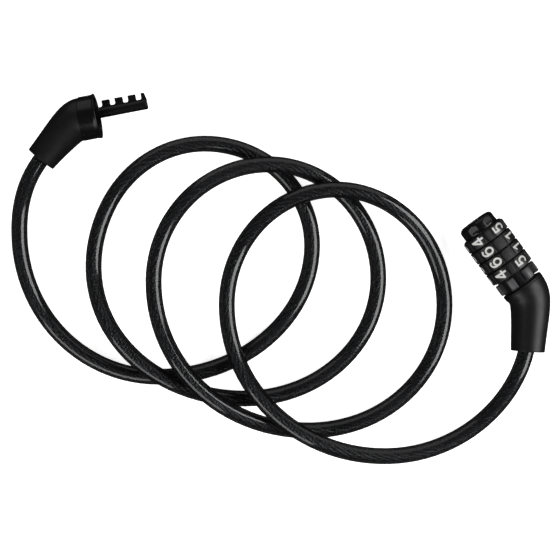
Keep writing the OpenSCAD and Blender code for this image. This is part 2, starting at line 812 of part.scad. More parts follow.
// Fixed ring whose raised blocks stand in line with the places of a dial
module index_ring() {
    flange = 1.2;
    first_block = -3;  // counted in places from the shown digits
    color(ring_grey) at_lock() translate([0, 0, ring_at + dial_gap / 2])
        difference() {
        union() {
            cylinder(d = ring_floor_d, h = ring_len - dial_gap / 2);
            translate([0, 0, ring_len - dial_gap / 2 - flange])
                cylinder(r = block_d / 2 - boot_step, h = flange);
            translate([0, 0, block_inset - dial_gap / 2]) intersection() {
                cylinder(d = block_d, h = block_len);
                for (k = [0 : places - 1])
                    rotate([0, 0, block_turn(first_block + k)])
                        translate([ring_floor_d / 2 - 1, -block_w / 2, 0])
                        cube([block_d / 2, block_w, block_len]);
            }
        }
        translate([0, 0, -slack])
            cylinder(r = barrel_r + fit_gap, h = ring_len + 1);
    }
}

module dial_1() { dial(0); }
module dial_2() { dial(1); }
module dial_3() { dial(2); }
module dial_4() { dial(3); }
module code_wheel_1() { code_wheel(0); }
module code_wheel_2() { code_wheel(1); }
module code_wheel_3() { code_wheel(2); }
module code_wheel_4() { code_wheel(3); }

key_boot();
key_collar();
key_blade();
key_elbow();
key_pin();
key_ferrule();
cable_sheath();
cable_core();
lock_boot();
lock_elbow();
lock_pin();
lock_ferrule();
lock_barrel();
index_ring();
dial_1();
dial_2();
dial_3();
dial_4();
code_wheel_1();
code_wheel_2();
code_wheel_3();
code_wheel_4();
detent_spring();
retaining_clip();
end_cap();
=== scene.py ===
"""Looks of a combination cable lock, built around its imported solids.

Lengths in the settings are metres. The shape code works in millimetres: the
cable in the scene's axes, all else in the axes of its head, with z along the
head, y towards the teeth or the far side, and minus x straight up.
"""

import math

import bmesh
import bpy
from bpy.props import (
    FloatProperty,
    FloatVectorProperty,
    IntProperty,
    IntVectorProperty,
    PointerProperty,
)
from mathutils import Matrix, Vector


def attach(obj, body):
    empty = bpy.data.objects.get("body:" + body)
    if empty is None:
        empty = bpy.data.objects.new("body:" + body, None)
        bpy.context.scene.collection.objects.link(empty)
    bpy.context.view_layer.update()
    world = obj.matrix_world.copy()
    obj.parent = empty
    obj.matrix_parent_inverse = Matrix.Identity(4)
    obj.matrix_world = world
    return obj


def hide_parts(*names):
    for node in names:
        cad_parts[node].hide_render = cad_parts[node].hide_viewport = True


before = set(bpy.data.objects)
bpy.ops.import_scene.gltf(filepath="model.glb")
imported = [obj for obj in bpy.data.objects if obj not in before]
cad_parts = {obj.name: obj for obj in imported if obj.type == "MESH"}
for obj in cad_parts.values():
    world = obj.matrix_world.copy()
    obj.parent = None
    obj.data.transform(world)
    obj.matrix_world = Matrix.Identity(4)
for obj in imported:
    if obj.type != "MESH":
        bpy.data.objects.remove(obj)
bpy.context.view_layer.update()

bl_info = {
    "name": "Combination Cable Lock",
    "version": (1, 0, 0),
    "blender": (4, 5, 0),
    "location": "View3D > Sidebar > Cable Lock",
    "description": "Builds a combination cable lock and its stage",
    "category": "Object",
}

BODY = "lock_and_cable"
DIAL_COUNT = 4
PLACES = 6


def linear(code):
    """Linear colour with alpha from an sRGB hex code such as 1b1b1c."""
    channels = []
    for start in (0, 2, 4):
        value = int(code[start : start + 2], 16) / 255
        low = value <= 0.04045
        channels.append(value / 12.92 if low else ((value + 0.055) / 1.055) ** 2.4)
    return (*channels, 1.0)


def length_prop(name, description, default):
    """A length setting, given in millimetres and kept in metres."""
    return FloatProperty(
        name=name, description=description, default=default / 1000, unit="LENGTH", precision=5
    )


def angle_prop(name, description, default):
    """An angle setting, given in degrees."""
    return FloatProperty(
        name=name, description=description, default=math.radians(default), subtype="ANGLE"
    )


def turns_prop(name, description, degrees):
    """A row of turns, given in degrees."""
    return FloatVectorProperty(
        name=name,
        description=description,
        default=[math.radians(turn) for turn in degrees],
        size=len(degrees),
        unit="ROTATION",
    )


def radiance_prop(name, description, default):
    """How bright a lamp or the room is."""
    return FloatProperty(name=name, description=description, default=default)


def colour_prop(name, description, code):
    """A colour setting, given as a hex code."""
    return FloatVectorProperty(
        name=name,
        description=description,
        default=linear(code),
        size=4,
        subtype="COLOR",
        min=0,
        max=1,
    )


# ---------------------------------------------------------------- settings


class CableSettings(bpy.types.PropertyGroup):
    """Sizes of the cable."""

    diameter: length_prop("Diameter", "Outer diameter of the sheath", 8.6)
    core: length_prop("Core", "Diameter of the twisted core", 6)
    bore: length_prop("Bore", "Inner diameter of the sheath", 6.24)
    strands: IntProperty(name="Strands", description="Strands in the core", default=6)
    lay: length_prop("Lay", "Length of one turn of a strand", 32)


class LockSettings(bpy.types.PropertyGroup):
    """Sizes of the lock head."""

    dial: length_prop("Dial", "Diameter over the number pads", 24.8)
    pitch: length_prop("Pitch", "Distance from one dial to the next", 7)
    gap: length_prop("Gap", "Gap between two dials", 0.3)
    bore: length_prop("Dial bore", "Bore of a dial", 18)
    pad: length_prop("Pad", "Length of a number pad around the dial", 8.4)
    groove: length_prop("Groove", "Width of the groove beside a pad", 0.9)
    places: turns_prop("Places", "Turn of each number from number 1", (0, 47, 95, 156, 220, 284))
    shown: angle_prop("Shown", "Angle of the shown row from straight up", -28)
    numbers: IntVectorProperty(
        name="Numbers",
        description="Numbers in the shown row, front dial first",
        default=(4, 6, 6, 4),
        size=DIAL_COUNT,
    )
    lead: turns_prop("Lead", "Turn of each dial past the shown row", (5, 0, 0, 8))
    figure: length_prop("Figure", "Height of a number", 7.2)
    stroke: length_prop("Stroke", "Width of a number's stroke", 1.0)
    front_chamfer: length_prop("Front chamfer", "Slant in front of the first dial", 1.4)
    cap: length_prop("Cap", "Diameter of the end cap", 20)
    cap_length: length_prop("Cap length", "Cap in front of the first dial", 6.2)
    barrel: length_prop("Barrel", "Diameter of the barrel", 10)
    ring_length: length_prop("Ring length", "Length of the index ring", 9.2)
    ring_floor: length_prop("Ring floor", "Diameter between the blocks", 17.6)
    block: length_prop("Blocks", "Diameter over the index blocks", 24)
    block_width: length_prop("Block width", "Width of an index block", 4.5)
    block_length: length_prop("Block length", "Length of an index block", 6.2)
    block_inset: length_prop("Block inset", "Ring's front to its blocks", 0.7)
    block_step: angle_prop("Block step", "Angle from one block to the next", 56)


class KeySettings(bpy.types.PropertyGroup):
    """Sizes of the key head."""

    shank: length_prop("Shank", "Diameter of the round shank", 5.6)
    offset: length_prop("Offset", "Shank's distance from the head's axis", 1.4)
    fin: length_prop("Fin", "Thickness of the toothed fin", 3)
    tooth: length_prop("Tooth", "Height of the teeth above the shank", 3.3)
    notch: length_prop("Notch", "Width of the notch between two teeth", 2.9)
    first: length_prop("First notch", "Lip to the middle of the first notch", 1.9)
    tip: length_prop("Tip", "Length of the last tooth", 2.6)
    collar: length_prop("Collar", "Outer diameter of the collar", 23.2)
    lip: length_prop("Lip", "Outer diameter of the collar's lip", 24.2)
    lip_length: length_prop("Lip length", "Length of the flare to the lip", 1.8)
    collar_length: length_prop("Collar length", "Length of the collar", 9.2)
    cup: length_prop("Cup depth", "Depth of the cup", 6.6)
    wall: length_prop("Cup wall", "Wall of the cup", 1.3)
    seam: angle_prop("Seam", "Slant of the seam to the boot", 4)


class FinishSettings(bpy.types.PropertyGroup):
    """Colours of the finishes."""

    sheath: colour_prop("Sheath", "Smoked vinyl", "0b0b0c")
    strand: colour_prop("Strands", "Galvanised wire of the core", "d6d9dc")
    steel: colour_prop("Steel", "Pins and springs", "a4a7aa")
    boot: colour_prop("Boots", "Moulded elastomer", "0c0c0d")
    gloss: colour_prop("Gloss parts", "Collar and cap", "070708")
    dial: colour_prop("Dials", "Dials and number pads", "0d0d0e")
    # darker than the dials: painted shade in the grooves and between the index blocks
    groove: colour_prop("Grooves", "Floors between pads and blocks", "060606")
    plain: colour_prop("Plain pads", "Eroded pads between numbers", "101011")
    ink: colour_prop("Numbers", "Ink of the numbers", "b8b8b5")
    block: colour_prop("Index blocks", "Satin blocks in line", "2e2e30")
    coat: colour_prop("Key", "Coating of the key", "0a0a0b")
    zinc: colour_prop("Zinc", "Die-cast zinc", "b4b6b8")
    brass: colour_prop("Brass", "Turned brass", "c2a25c")
    aluminium: colour_prop("Aluminium", "Crimped sleeves", "c8cacc")
    floor: colour_prop("Floor", "Matt white floor", "f4f4f2")


class StageSettings(bpy.types.PropertyGroup):
    """Camera and lights."""

    height: length_prop("Height", "Camera above the floor", 700)
    view: angle_prop("View", "Angle that the camera takes in", 24.36)
    centre: FloatVectorProperty(
        name="Centre",
        description="Point of the floor under the camera",
        default=(-0.0052, -0.0301),
        size=2,
        subtype="XYZ",
        unit="LENGTH",
    )
    key_light: radiance_prop("Main light", "Radiance of the right softbox", 5.4)
    far_light: radiance_prop("Far light", "Radiance of the far softbox", 0.65)
    left_light: radiance_prop("Near left light", "Radiance of the near left softbox", 3.0)
    fill_light: radiance_prop("Fill light", "Radiance of the matt fill", 5.0)
    room: radiance_prop("Room", "Radiance of the room's walls", 0.025)
    backdrop: radiance_prop("Backdrop", "Radiance of the walls where the camera sees them", 0.86)


# ---------------------------------------------------------------- meshes


def mm(value):
    """Millimetres from a setting in metres."""
    return value * 1000


def head_matrix(place, yaw):
    """From a head's own axes, in millimetres, to the scene in metres."""
    return (
        Matrix.Scale(0.001, 4)
        @ Matrix.Translation(place)
        @ Matrix.Rotation(math.radians(yaw), 4, "Z")
        @ Matrix.Rotation(math.radians(90), 4, "Y")
    )


KEY_PLACE, KEY_YAW = (-101.7, 56.9, 12.1), 10.7
LOCK_PLACE, LOCK_YAW = (97.8, 1.3, 12.4), -53.5
KEY_HEAD = head_matrix(KEY_PLACE, KEY_YAW)
LOCK_HEAD = head_matrix(LOCK_PLACE, LOCK_YAW)
WORLD_MM, UNMOVED = Matrix.Scale(0.001, 4), Matrix.Identity(4)


def mesh_from(edit, name):
    """A mesh from an edit mesh, which is freed."""
    mesh = bpy.data.meshes.new(name)
    edit.to_mesh(mesh)
    edit.free()
    return mesh


def loft(name, rings, closed=False):
    """Skin over rings with the same number of points each, its doubles merged.

    A closed loft joins the last ring to the first, an open one gets caps.
    """
    count = len(rings[0])
    faces = []
    for i in range(len(rings) if closed else len(rings) - 1):
        here, there = i * count, (i + 1) % len(rings) * count
        for k in range(count):
            after = (k + 1) % count
            faces.append((here + k, here + after, there + after, there + k))
    if not closed:
        last = (len(rings) - 1) * count
        faces.append(tuple(reversed(range(count))))
        faces.append(tuple(range(last, last + count)))
    mesh = bpy.data.meshes.new(name)
    mesh.from_pydata([tuple(p) for ring in rings for p in ring], [], faces)
    edit = bmesh.new()
    edit.from_mesh(mesh)
    bmesh.ops.remove_doubles(edit, verts=edit.verts, dist=1e-5)
    bmesh.ops.recalc_face_normals(edit, faces=edit.faces)
    edit.to_mesh(mesh)
    edit.free()
    return mesh


def circle(radius, z, sides, centre=(0.0, 0.0)):
    """A ring of points round the local z axis, or round a line beside it."""
    turns = [2 * math.pi * k / sides for k in range(sides)]
    return [(centre[0] + radius * math.cos(t), centre[1] + radius * math.sin(t), z) for t in turns]


def oval(centre, across, up, start, end, steps=20):
    """Points of an oval's arc, its half sizes given, angles in degrees."""
    turns = [math.radians(start + (end - start) * i / steps) for i in range(steps + 1)]
    return [(centre[0] + across * math.cos(t), centre[1] + up * math.sin(t)) for t in turns]


def join(name, meshes):
    """One mesh from several, which keeps the material of each."""
    edit = bmesh.new()
    materials = []
    for mesh in meshes:
        first = len(edit.faces)
        edit.from_mesh(mesh)
        edit.faces.ensure_lookup_table()
        for face in edit.faces[first:]:
            own = mesh.materials[face.material_index] if mesh.materials else None
            if own not in materials:
                materials.append(own)
            face.material_index = materials.index(own)
    joined = mesh_from(edit, name)
    for material in materials:
        joined.materials.append(material)
    return joined


def add_piece(name, mesh, matrix, body, replaces=(), finish=None, sharp=35):
    """A finished piece at the origin, whose mesh holds its place.

    It is shaded by angle and gets its body and, if one is given, its
    one finish; the CAD nodes that it replaces are hidden.
    """
    mesh.transform(matrix)
    mesh.name = name
    mesh.shade_smooth()
    mesh.set_sharp_from_angle(angle=math.radians(sharp))
    if finish:
        mesh.materials.clear()
        mesh.materials.append(finish_named(finish))
    obj = bpy.data.objects.new(name, mesh)
    bpy.context.scene.collection.objects.link(obj)
    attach(obj, body)
    if replaces:
        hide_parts(*replaces)
    return obj


# ---------------------------------------------------------------- nodes


def add_node(tree, kind, inputs=None, **settings):
    """A node of one kind with its settings.

    An input is a value, a socket to link, or a node whose first output is
    linked.
    """
    node = tree.nodes.new(kind)
    for key, value in settings.items():
        setattr(node, key, value)
    for key, value in (inputs or {}).items():
        if isinstance(value, bpy.types.Node):
            value = value.outputs[0]
        if isinstance(value, bpy.types.NodeSocket):
            tree.links.new(value, node.inputs[key])
        else:
            node.inputs[key].default_value = value
    return node


def lumps(tree, size, detail):
    """Noise whose lumps are about size millimetres across."""
    place = add_node(tree, "ShaderNodeTexCoord").outputs["Object"]
    values = {"Vector": place, "Scale": 1000 / size, "Detail": detail}
    return add_node(tree, "ShaderNodeTexNoise", values).outputs["Fac"]


def node_group(name, inputs):
    """A geometry tree with its end nodes, a mesh input and the named ones."""
    tree = bpy.data.node_groups.new(name, "GeometryNodeTree")
    for label, kind in {"Geometry": "Geometry", **inputs}.items():
        tree.interface.new_socket(label, in_out="INPUT", socket_type=f"NodeSocket{kind}")
    tree.interface.new_socket("Geometry", in_out="OUTPUT", socket_type="NodeSocketGeometry")
    return tree, add_node(tree, "NodeGroupInput").outputs, add_node(tree, "NodeGroupOutput")


def end_group(tree, geometry, given, out):
    """Ends a tree in real geometry with its material."""
    real = add_node(tree, "GeometryNodeRealizeInstances", {"Geometry": geometry})
    painted = add_node(
        tree, "GeometryNodeSetMaterial", {"Geometry": real, "Material": given["Material"]}
    )
    tree.links.new(painted.outputs[0], out.inputs[0])


def grow(name, mesh, tree, values):
    """The plain mesh that a geometry tree makes from a mesh."""
    carrier = bpy.data.objects.new(name, mesh)
    bpy.context.scene.collection.objects.link(carrier)
    modifier = carrier.modifiers.new(tree.name, "NODES")
    modifier.node_group = tree
    for item in tree.interface.items_tree:
        if item.in_out == "INPUT" and item.name in values:
            modifier[item.identifier] = values[item.name]
    graph = bpy.context.evaluated_depsgraph_get()
    made = bpy.data.meshes.new_from_object(
        carrier.evaluated_get(graph), preserve_all_data_layers=True, depsgraph=graph
    )
    carrier.modifiers.remove(modifier)
    bpy.data.objects.remove(carrier)
    if not made.polygons:
        raise RuntimeError(f"the tree {tree.name} made nothing for {name}")
    made.name = name
    return made


def ring_tree():
    """Copies of a piece round the head's axis, each at its own turn."""
    old = bpy.data.node_groups.get("copies_round_the_axis")
    if old:
        return old
    turns = {f"Turn {i + 1}": "Float" for i in range(PLACES)}
    tree, given, out = node_group(
        "copies_round_the_axis", {"Count": "Int", **turns, "Material": "Material"}
    )
    points = add_node(tree, "GeometryNodePoints", {"Count": given["Count"]})
    turn = add_node(tree, "GeometryNodeIndexSwitch", data_type="FLOAT")
    while len(turn.index_switch_items) < PLACES:
        turn.index_switch_items.new()
    index = add_node(tree, "GeometryNodeInputIndex")
    for socket, source in enumerate((index.outputs[0], *(given[label] for label in turns))):
        tree.links.new(source, turn.inputs[socket])
    euler = add_node(tree, "ShaderNodeCombineXYZ", {"Z": turn})
    copies = add_node(
        tree,
        "GeometryNodeInstanceOnPoints",
        {"Points": points, "Instance": given["Geometry"], "Rotation": euler},
    )
    end_group(tree, copies, given, out)
    return tree


def ring_of(name, piece, turns, finish):
    """Copies of a piece round the head's axis, one at each turn."""
    values = {f"Turn {i + 1}": turn for i, turn in enumerate(turns)}
    values.update({"Count": len(turns), "Material": finish_named(finish)})
    return grow(name, piece, ring_tree(), values)


def strand_tree():
    """Strands twisted round a path.

    Each strand stores its length as along and its corners' places in its
    section as around.
    """
    tree, given, out = node_group(
        "twisted_strands",
        {
            "Strands": "Int", "Lay": "Float", "Pitch radius": "Float", "Strand radius": "Float",
            "Ring spacing": "Float", "Sides": "Int", "Material": "Material",
        },
    )
    path = add_node(tree, "GeometryNodeMeshToCurve", {"Mesh": given["Geometry"]})
    even = add_node(
        tree,
        "GeometryNodeResampleCurve",
        {"Curve": path, "Length": given["Ring spacing"]},
        mode="LENGTH",
    )
    upright = add_node(tree, "GeometryNodeSetCurveNormal", {"Curve": even}, mode="Z_UP")
    copies = add_node(
        tree,
        "GeometryNodeDuplicateElements",
        {"Geometry": upright, "Amount": given["Strands"]},
        domain="SPLINE",
    )
    travelled = add_node(tree, "GeometryNodeSplineParameter").outputs["Length"]
    marked = add_node(
        tree,
        "GeometryNodeStoreNamedAttribute",
        {"Name": "along", "Geometry": copies, "Value": travelled},
        data_type="FLOAT",
        domain="POINT",
    )
    number = copies.outputs["Duplicate Index"]
    turns = add_node(tree, "ShaderNodeMath", {0: travelled, 1: given["Lay"]}, operation="DIVIDE")
    share = add_node(tree, "ShaderNodeMath", {0: number, 1: given["Strands"]}, operation="DIVIDE")
    phase = add_node(tree, "ShaderNodeMath", {0: turns, 1: share}, operation="ADD")
    angle = add_node(tree, "ShaderNodeMath", {0: phase, 1: 2 * math.pi}, operation="MULTIPLY")
    spun = add_node(
        tree,
        "ShaderNodeVectorRotate",
        {
            "Vector": add_node(tree, "GeometryNodeInputNormal"),
            "Axis": add_node(tree, "GeometryNodeInputTangent"),
            "Angle": angle,
        },
        rotation_type="AXIS_ANGLE",
    )
    offset = add_node(
        tree,
        "ShaderNodeVectorMath",
        {"Vector": spun, "Scale": given["Pitch radius"]},
        operation="SCALE",
    )
    twisted = add_node(tree, "GeometryNodeSetPosition", {"Geometry": marked, "Offset": offset})
    profile = add_node(
        tree,
        "GeometryNodeCurvePrimitiveCircle",
        {"Resolution": given["Sides"], "Radius": given["Strand radius"]},
    )
    corner = add_node(tree, "GeometryNodeInputPosition")
    around = add_node(
        tree,
        "GeometryNodeStoreNamedAttribute",
        {"Name": "around", "Geometry": profile, "Value": corner},
        data_type="FLOAT_VECTOR",
        domain="POINT",
    )
    tube = add_node(
        tree,
        "GeometryNodeCurveToMesh",
        {"Curve": twisted, "Profile Curve": around, "Fill Caps": True},
    )
    end_group(tree, tube, given, out)
    return tree


# ---------------------------------------------------------------- route
# Turning points of the loops seen from above, from the key to the lock.
TURNS = [
    (-144.5, -6), (-70.5, -82), (12, -11.5), (-45.5, 43),
    (-104.5, -20.5), (-23.5, -93.5), (47.5, -29), (-10.5, 31),
    (-72, -30), (12, -110.5), (83, -43.5), (24, 17.5),
    (-33.5, -43), (52.5, -123.5),
]
# The cable's underside over the floor in diameters, each with its place:
# a whole number is a turning point, counted from 1.
RISES = [
    (1.4, 0), (4.7, 0), (5.4, 1.4), (6.2, 0), (7.2, 0), (8.2, 1.3),
    (8.8, 1), (9.4, 1.85), (10.2, 0), (11, 0), (12, 1.52), (12.7, 0.45),
    (13.6, 1.68), (14.3, 0.4),
]
# In the same count, how long the cable keeps the key's height at its start,
# and the lock's at its end.
LEVEL_OUT, LEVEL_IN = 0.3, 0.12
# From the ends of the first and the last curve to their control points:
# along each boot, and beside the first and the last turning point.
KEY_PULL, LOCK_PULL, FIRST_PULL, LAST_PULL = 12, 30, (0, 22), (45, 0)
# Along each head: its zero to the corner of its boot's bend, the boot's neck
# from its seam to there, the arm from there to its mouth, and how far inside
# the mouth the first or the last curve ends.
KEY_CORNER, KEY_NECK, KEY_ARM, KEY_LEAD_IN = 13.9, 4.7, 26.5, 6.0
LOCK_CORNER, LOCK_NECK, LOCK_ARM, LOCK_LEAD_IN = 50.5, 7.1, 28.7, 10.0
LOCK_SEAM = 43.4
BEND = math.radians(40)
# The cable's straight run from there into its ferrule.
CABLE_GRIP = 8.0


def past_bend(head, way, corner, distance):
    """A point on a boot's axis past its bend, in scene millimetres."""
    along = corner + distance * math.cos(BEND)
    return head @ Vector((0, -distance * math.sin(BEND), way * along)) * 1000


def key_axis(distance):
    """A point on the key boot's axis, at a distance from its corner."""
    return past_bend(KEY_HEAD, -1, KEY_CORNER, distance)


def lock_axis(distance):
    """A point on the lock boot's axis, at a distance from its corner."""
    return past_bend(LOCK_HEAD, 1, LOCK_CORNER, distance)


def bezier(a, b, c, d, t):
    """A point of a cubic curve."""
    return (1 - t) ** 3 * a + 3 * t * (1 - t) ** 2 * b + 3 * t * t * (1 - t) * c + t**3 * d


def cable_route(per_quarter, diameter):
    """The cable's centre line in scene millimetres, from key to lock."""
    key_start, lock_start = key_axis(KEY_ARM - KEY_LEAD_IN), lock_axis(LOCK_ARM - LOCK_LEAD_IN)
    key_way = (key_axis(1) - key_axis(0)).normalized()
    lock_way = (lock_axis(1) - lock_axis(0)).normalized()
    turns = [Vector(p) for p in TURNS]
    last = len(turns) - 1
    end = last + 2
    key_rise, lock_rise = KEY_PLACE[2] / diameter - 0.5, LOCK_PLACE[2] / diameter - 0.5
    climb = [
        (0, key_rise), (LEVEL_OUT, key_rise), *RISES, (end - LEVEL_IN, lock_rise), (end, lock_rise)
    ]

    def plan(q):
        if q < 1:
            start, stop = key_start.xy, turns[0]
            return bezier(start, start + KEY_PULL * key_way.xy, stop + Vector(FIRST_PULL), stop, q)
        if q >= last + 1:
            start, stop, t = turns[last], lock_start.xy, min(1, q - last - 1)
            return bezier(start, start + Vector(LAST_PULL), stop + LOCK_PULL * lock_way.xy, stop, t)
        i = int(q) - 1
        a, b, t = turns[i], turns[i + 1], (q - 1 - i) * math.pi / 2
        if i % 2 == 0:
            return Vector((b.x + (a.x - b.x) * math.cos(t), a.y + (b.y - a.y) * math.sin(t)))
        return Vector((a.x + (b.x - a.x) * math.sin(t), b.y + (a.y - b.y) * math.cos(t)))

    def rise(q):
        i = 0
        while q > climb[i + 1][0] and i < len(climb) - 2:
            i += 1
        (q0, r0), (q1, r1) = climb[i], climb[i + 1]
        return r0 + (r1 - r0) * (1 - math.cos(math.pi * (q - q0) / (q1 - q0))) / 2

    line = [key_start - CABLE_GRIP * key_way]
    for k in range(end * per_quarter + 1):
        q = k / per_quarter
        flat = plan(q)
        line.append(Vector((flat.x, flat.y, diameter * (0.5 + rise(q)))))
    return [*line, lock_start - CABLE_GRIP * lock_way]


def tube_rings(line, radius, sides):
    """Upright rings round a line, first corner straight down."""
    turns = [2 * math.pi * k / sides for k in range(sides)]
    rings = []
    for i, point in enumerate(line):
        before, after = line[max(i - 1, 0)], line[min(i + 1, len(line) - 1)]
        way = (after - before).normalized()
        side = Vector((0, 0, 1)).cross(way).normalized()
        up = way.cross(side)
        rings.append([point + radius * (math.sin(t) * side - math.cos(t) * up) for t in turns])
    return rings


# ---------------------------------------------------------------- shapes


def box(low, high):
    """An edit mesh of a box between two corners."""
    edit = bmesh.new()
    bmesh.ops.create_cube(edit, size=1.0)
    for vert in edit.verts:
        vert.co = [high[i] if vert.co[i] > 0 else low[i] for i in range(3)]
    return edit


def round_edges(edit, edges, radius, segments, **more):
    """Rounds edges of an edit mesh."""
    bmesh.ops.bevel(
        edit, geom=edges, offset=radius, segments=segments, profile=0.5, affect="EDGES", **more
    )


def rounded_box(width, length, low, high, corner, edge, cuts):
    """A block for a drum's skin: width bends round, length lies along z.

    Its upright corners and its upper rim are rounded before it is bent from
    radius low to radius high.
    """
    edit = box((low, -width / 2, -length / 2), (high, width / 2, length / 2))
    upright = [e for e in edit.edges if abs(e.verts[0].co.x - e.verts[1].co.x) > 1e-4]
    round_edges(edit, upright, corner, 5)
    rim = [
        e
        for e in edit.edges
        if all(v.co.x > high - 1e-4 for v in e.verts)
        and any(abs(f.normal.x) < 0.5 for f in e.link_faces)
    ]
    round_edges(edit, rim, edge, 3)
    mesh = mesh_from(edit, "rounded_box")
    slice_mesh(mesh, [((0, width * (i / cuts - 0.5), 0), (0, 1, 0)) for i in range(1, cuts)])
    bend_round(mesh, high)
    return mesh


def bend_round(mesh, radius):
    """Bends a mesh whose x is height over the axis round the z axis."""
    for vert in mesh.vertices:
        turn = vert.co.y / radius
        vert.co.x, vert.co.y = vert.co.x * math.cos(turn), vert.co.x * math.sin(turn)


def shifted(mesh, z):
    """The same mesh, moved along the head."""
    mesh.transform(Matrix.Translation((0, 0, z)))
    return mesh


def lathe(name, profile, sides):
    """A turned piece from a closed outline of (radius, z) points."""
    return loft(name, [circle(r, z, sides) for r, z in profile], closed=True)


def rounded_outline(corners, steps=4):
    """Closed outline from (radius, z, rounding) corners."""
    points = []
    for i, (r, z, rounding) in enumerate(corners):
        here = Vector((r, z))
        if not rounding:
            points.append((r, z))
            continue
        before = (Vector(corners[i - 1][:2]) - here).normalized()
        after = (Vector(corners[(i + 1) % len(corners)][:2]) - here).normalized()
        start, end = here + rounding * before, here + rounding * after
        for k in range(steps + 1):
            t = k / steps
            p = (1 - t) ** 2 * start + 2 * t * (1 - t) * here + t * t * end
            points.append((p.x, p.y))
    return points


def cut(mesh, cutter, operation="DIFFERENCE"):
    """The first mesh cut by, or joined with, the second one."""
    body = bpy.data.objects.new("body", mesh)
    tool = bpy.data.objects.new("tool", cutter)
    for obj in (body, tool):
        bpy.context.scene.collection.objects.link(obj)
    modifier = body.modifiers.new("cut", "BOOLEAN")
    modifier.operation = operation
    modifier.solver = "EXACT"
    modifier.object = tool
    graph = bpy.context.evaluated_depsgraph_get()
    made = bpy.data.meshes.new_from_object(body.evaluated_get(graph), depsgraph=graph)
    for obj in (body, tool):
        bpy.data.objects.remove(obj)
    return made


def digit_turn(head, row, digit):
    """Turn round the head's axis that brings a number to its place."""
    from_shown = head.places[digit - 1] - head.places[head.numbers[row] - 1]
    return math.pi - head.shown + head.lead[row] - from_shown


# Middle lines of each number's strokes, right and up from the middle of a
# number of full height. A stroke whose ends meet is closed.
FULL_HEIGHT = 7.5
STROKES = {
    1: [[(0.85, -3.75), (0.85, 3.7)], [(0.95, 3.25), (-1.25, 1.85)]],
    2: [
        [*oval((-0.05, 1.45), 1.7, 1.73, 165, -15), (-1.6, -3.0)],
        [(-2.2, -3.18), (2.15, -3.18)],
    ],
    3: [
        oval((-0.1, 1.6), 1.55, 1.58, 155, -80),
        oval((-0.1, -1.32), 1.83, 1.86, 85, -150),
    ],
    4: [
        [(0.75, 3.7), (0.75, -3.75)],
        [(0.65, 3.35), (-1.85, -1.3)],
        [(-2.35, -1.38), (2.35, -1.38)],
    ],
    5: [
        [(-1.75, 3.18), (1.9, 3.18)],
        [(-1.25, 3.5), (-1.45, -0.1)],
        oval((0.1, -1.05), 1.68, 2.13, 142, -148),
    ],
    6: [
        oval((0.0, -1.2), 1.78, 1.98, 0, 360, 36),
        [*oval((0.0, 0.75), 1.78, 2.43, 36, 180), (-1.78, -1.2)],
    ],
}


def stroke_mesh(line, width, low, high):
    """A stroke of one width from low to high over the head's axis."""
    points = [Vector(p) for p in line]
    closed = (points[0] - points[-1]).length < 1e-6
    if closed:
        points.pop()
    rings = []
    for i, here in enumerate(points):
        before = points[i - 1] if closed or i else here
        after = points[(i + 1) % len(points)] if closed or i < len(points) - 1 else here
        way = (after - before).normalized()
        side = Vector((-way.y, way.x)) * width / 2
        left, right = here + side, here - side
        rings.append(
            [
                (low, left.y, -left.x), (high, left.y, -left.x),
                (high, right.y, -right.x), (low, right.y, -right.x),
            ]
        )
    return loft("stroke", rings, closed)


def figure_mesh(digit, height, width, low, high):
    """A number wrapped on a drum, top along the turn, from low to high."""
    lines = [[height / FULL_HEIGHT * Vector(p) for p in line] for line in STROKES[digit]]
    mesh, *others = [stroke_mesh(line, width, low, high) for line in lines]
    for stroke in others:
        mesh = cut(mesh, stroke, "UNION")
    slices = 18
    planes = [((0, height * (i / slices - 0.5), 0), (0, 1, 0)) for i in range(1, slices)]
    slice_mesh(mesh, planes)
    bend_round(mesh, high)
    return mesh


def slice_mesh(mesh, planes):
    """Adds edges to a mesh where planes, each a point and a normal, cross it."""
    edit = bmesh.new()
    edit.from_mesh(mesh)
    for point, normal in planes:
        everything = edit.verts[:] + edit.edges[:] + edit.faces[:]
        bmesh.ops.bisect_plane(edit, geom=everything, plane_co=point, plane_no=normal)
    edit.to_mesh(mesh)
    edit.free()


def slant_front(mesh, plane):
    """Slants a ring's skin by 45 degrees in front of a plane."""
    slice_mesh(mesh, [((0, 0, plane), (0, 0, 1))])
    for vert in mesh.vertices:
        drop = max(0.0, plane - vert.co.z)
        reach = math.hypot(vert.co.x, vert.co.y)
        vert.co.x *= 1 - drop / reach
        vert.co.y *= 1 - drop / reach
    return mesh


# Radii inside a boot: round the elbow at its seam and at its corner, round
# the ferrule, and round the cable behind the lip.
ELBOW_ROOM, CORNER_ROOM, FERRULE_ROOM, CABLE_HOLD = 6.78, 6.6, 5.3, 4.7
BOOT_LIP, BOOT_TAPER = 0.5, math.radians(2.6)
BOOT_SIDES, BOOT_STEPS = 72, 64


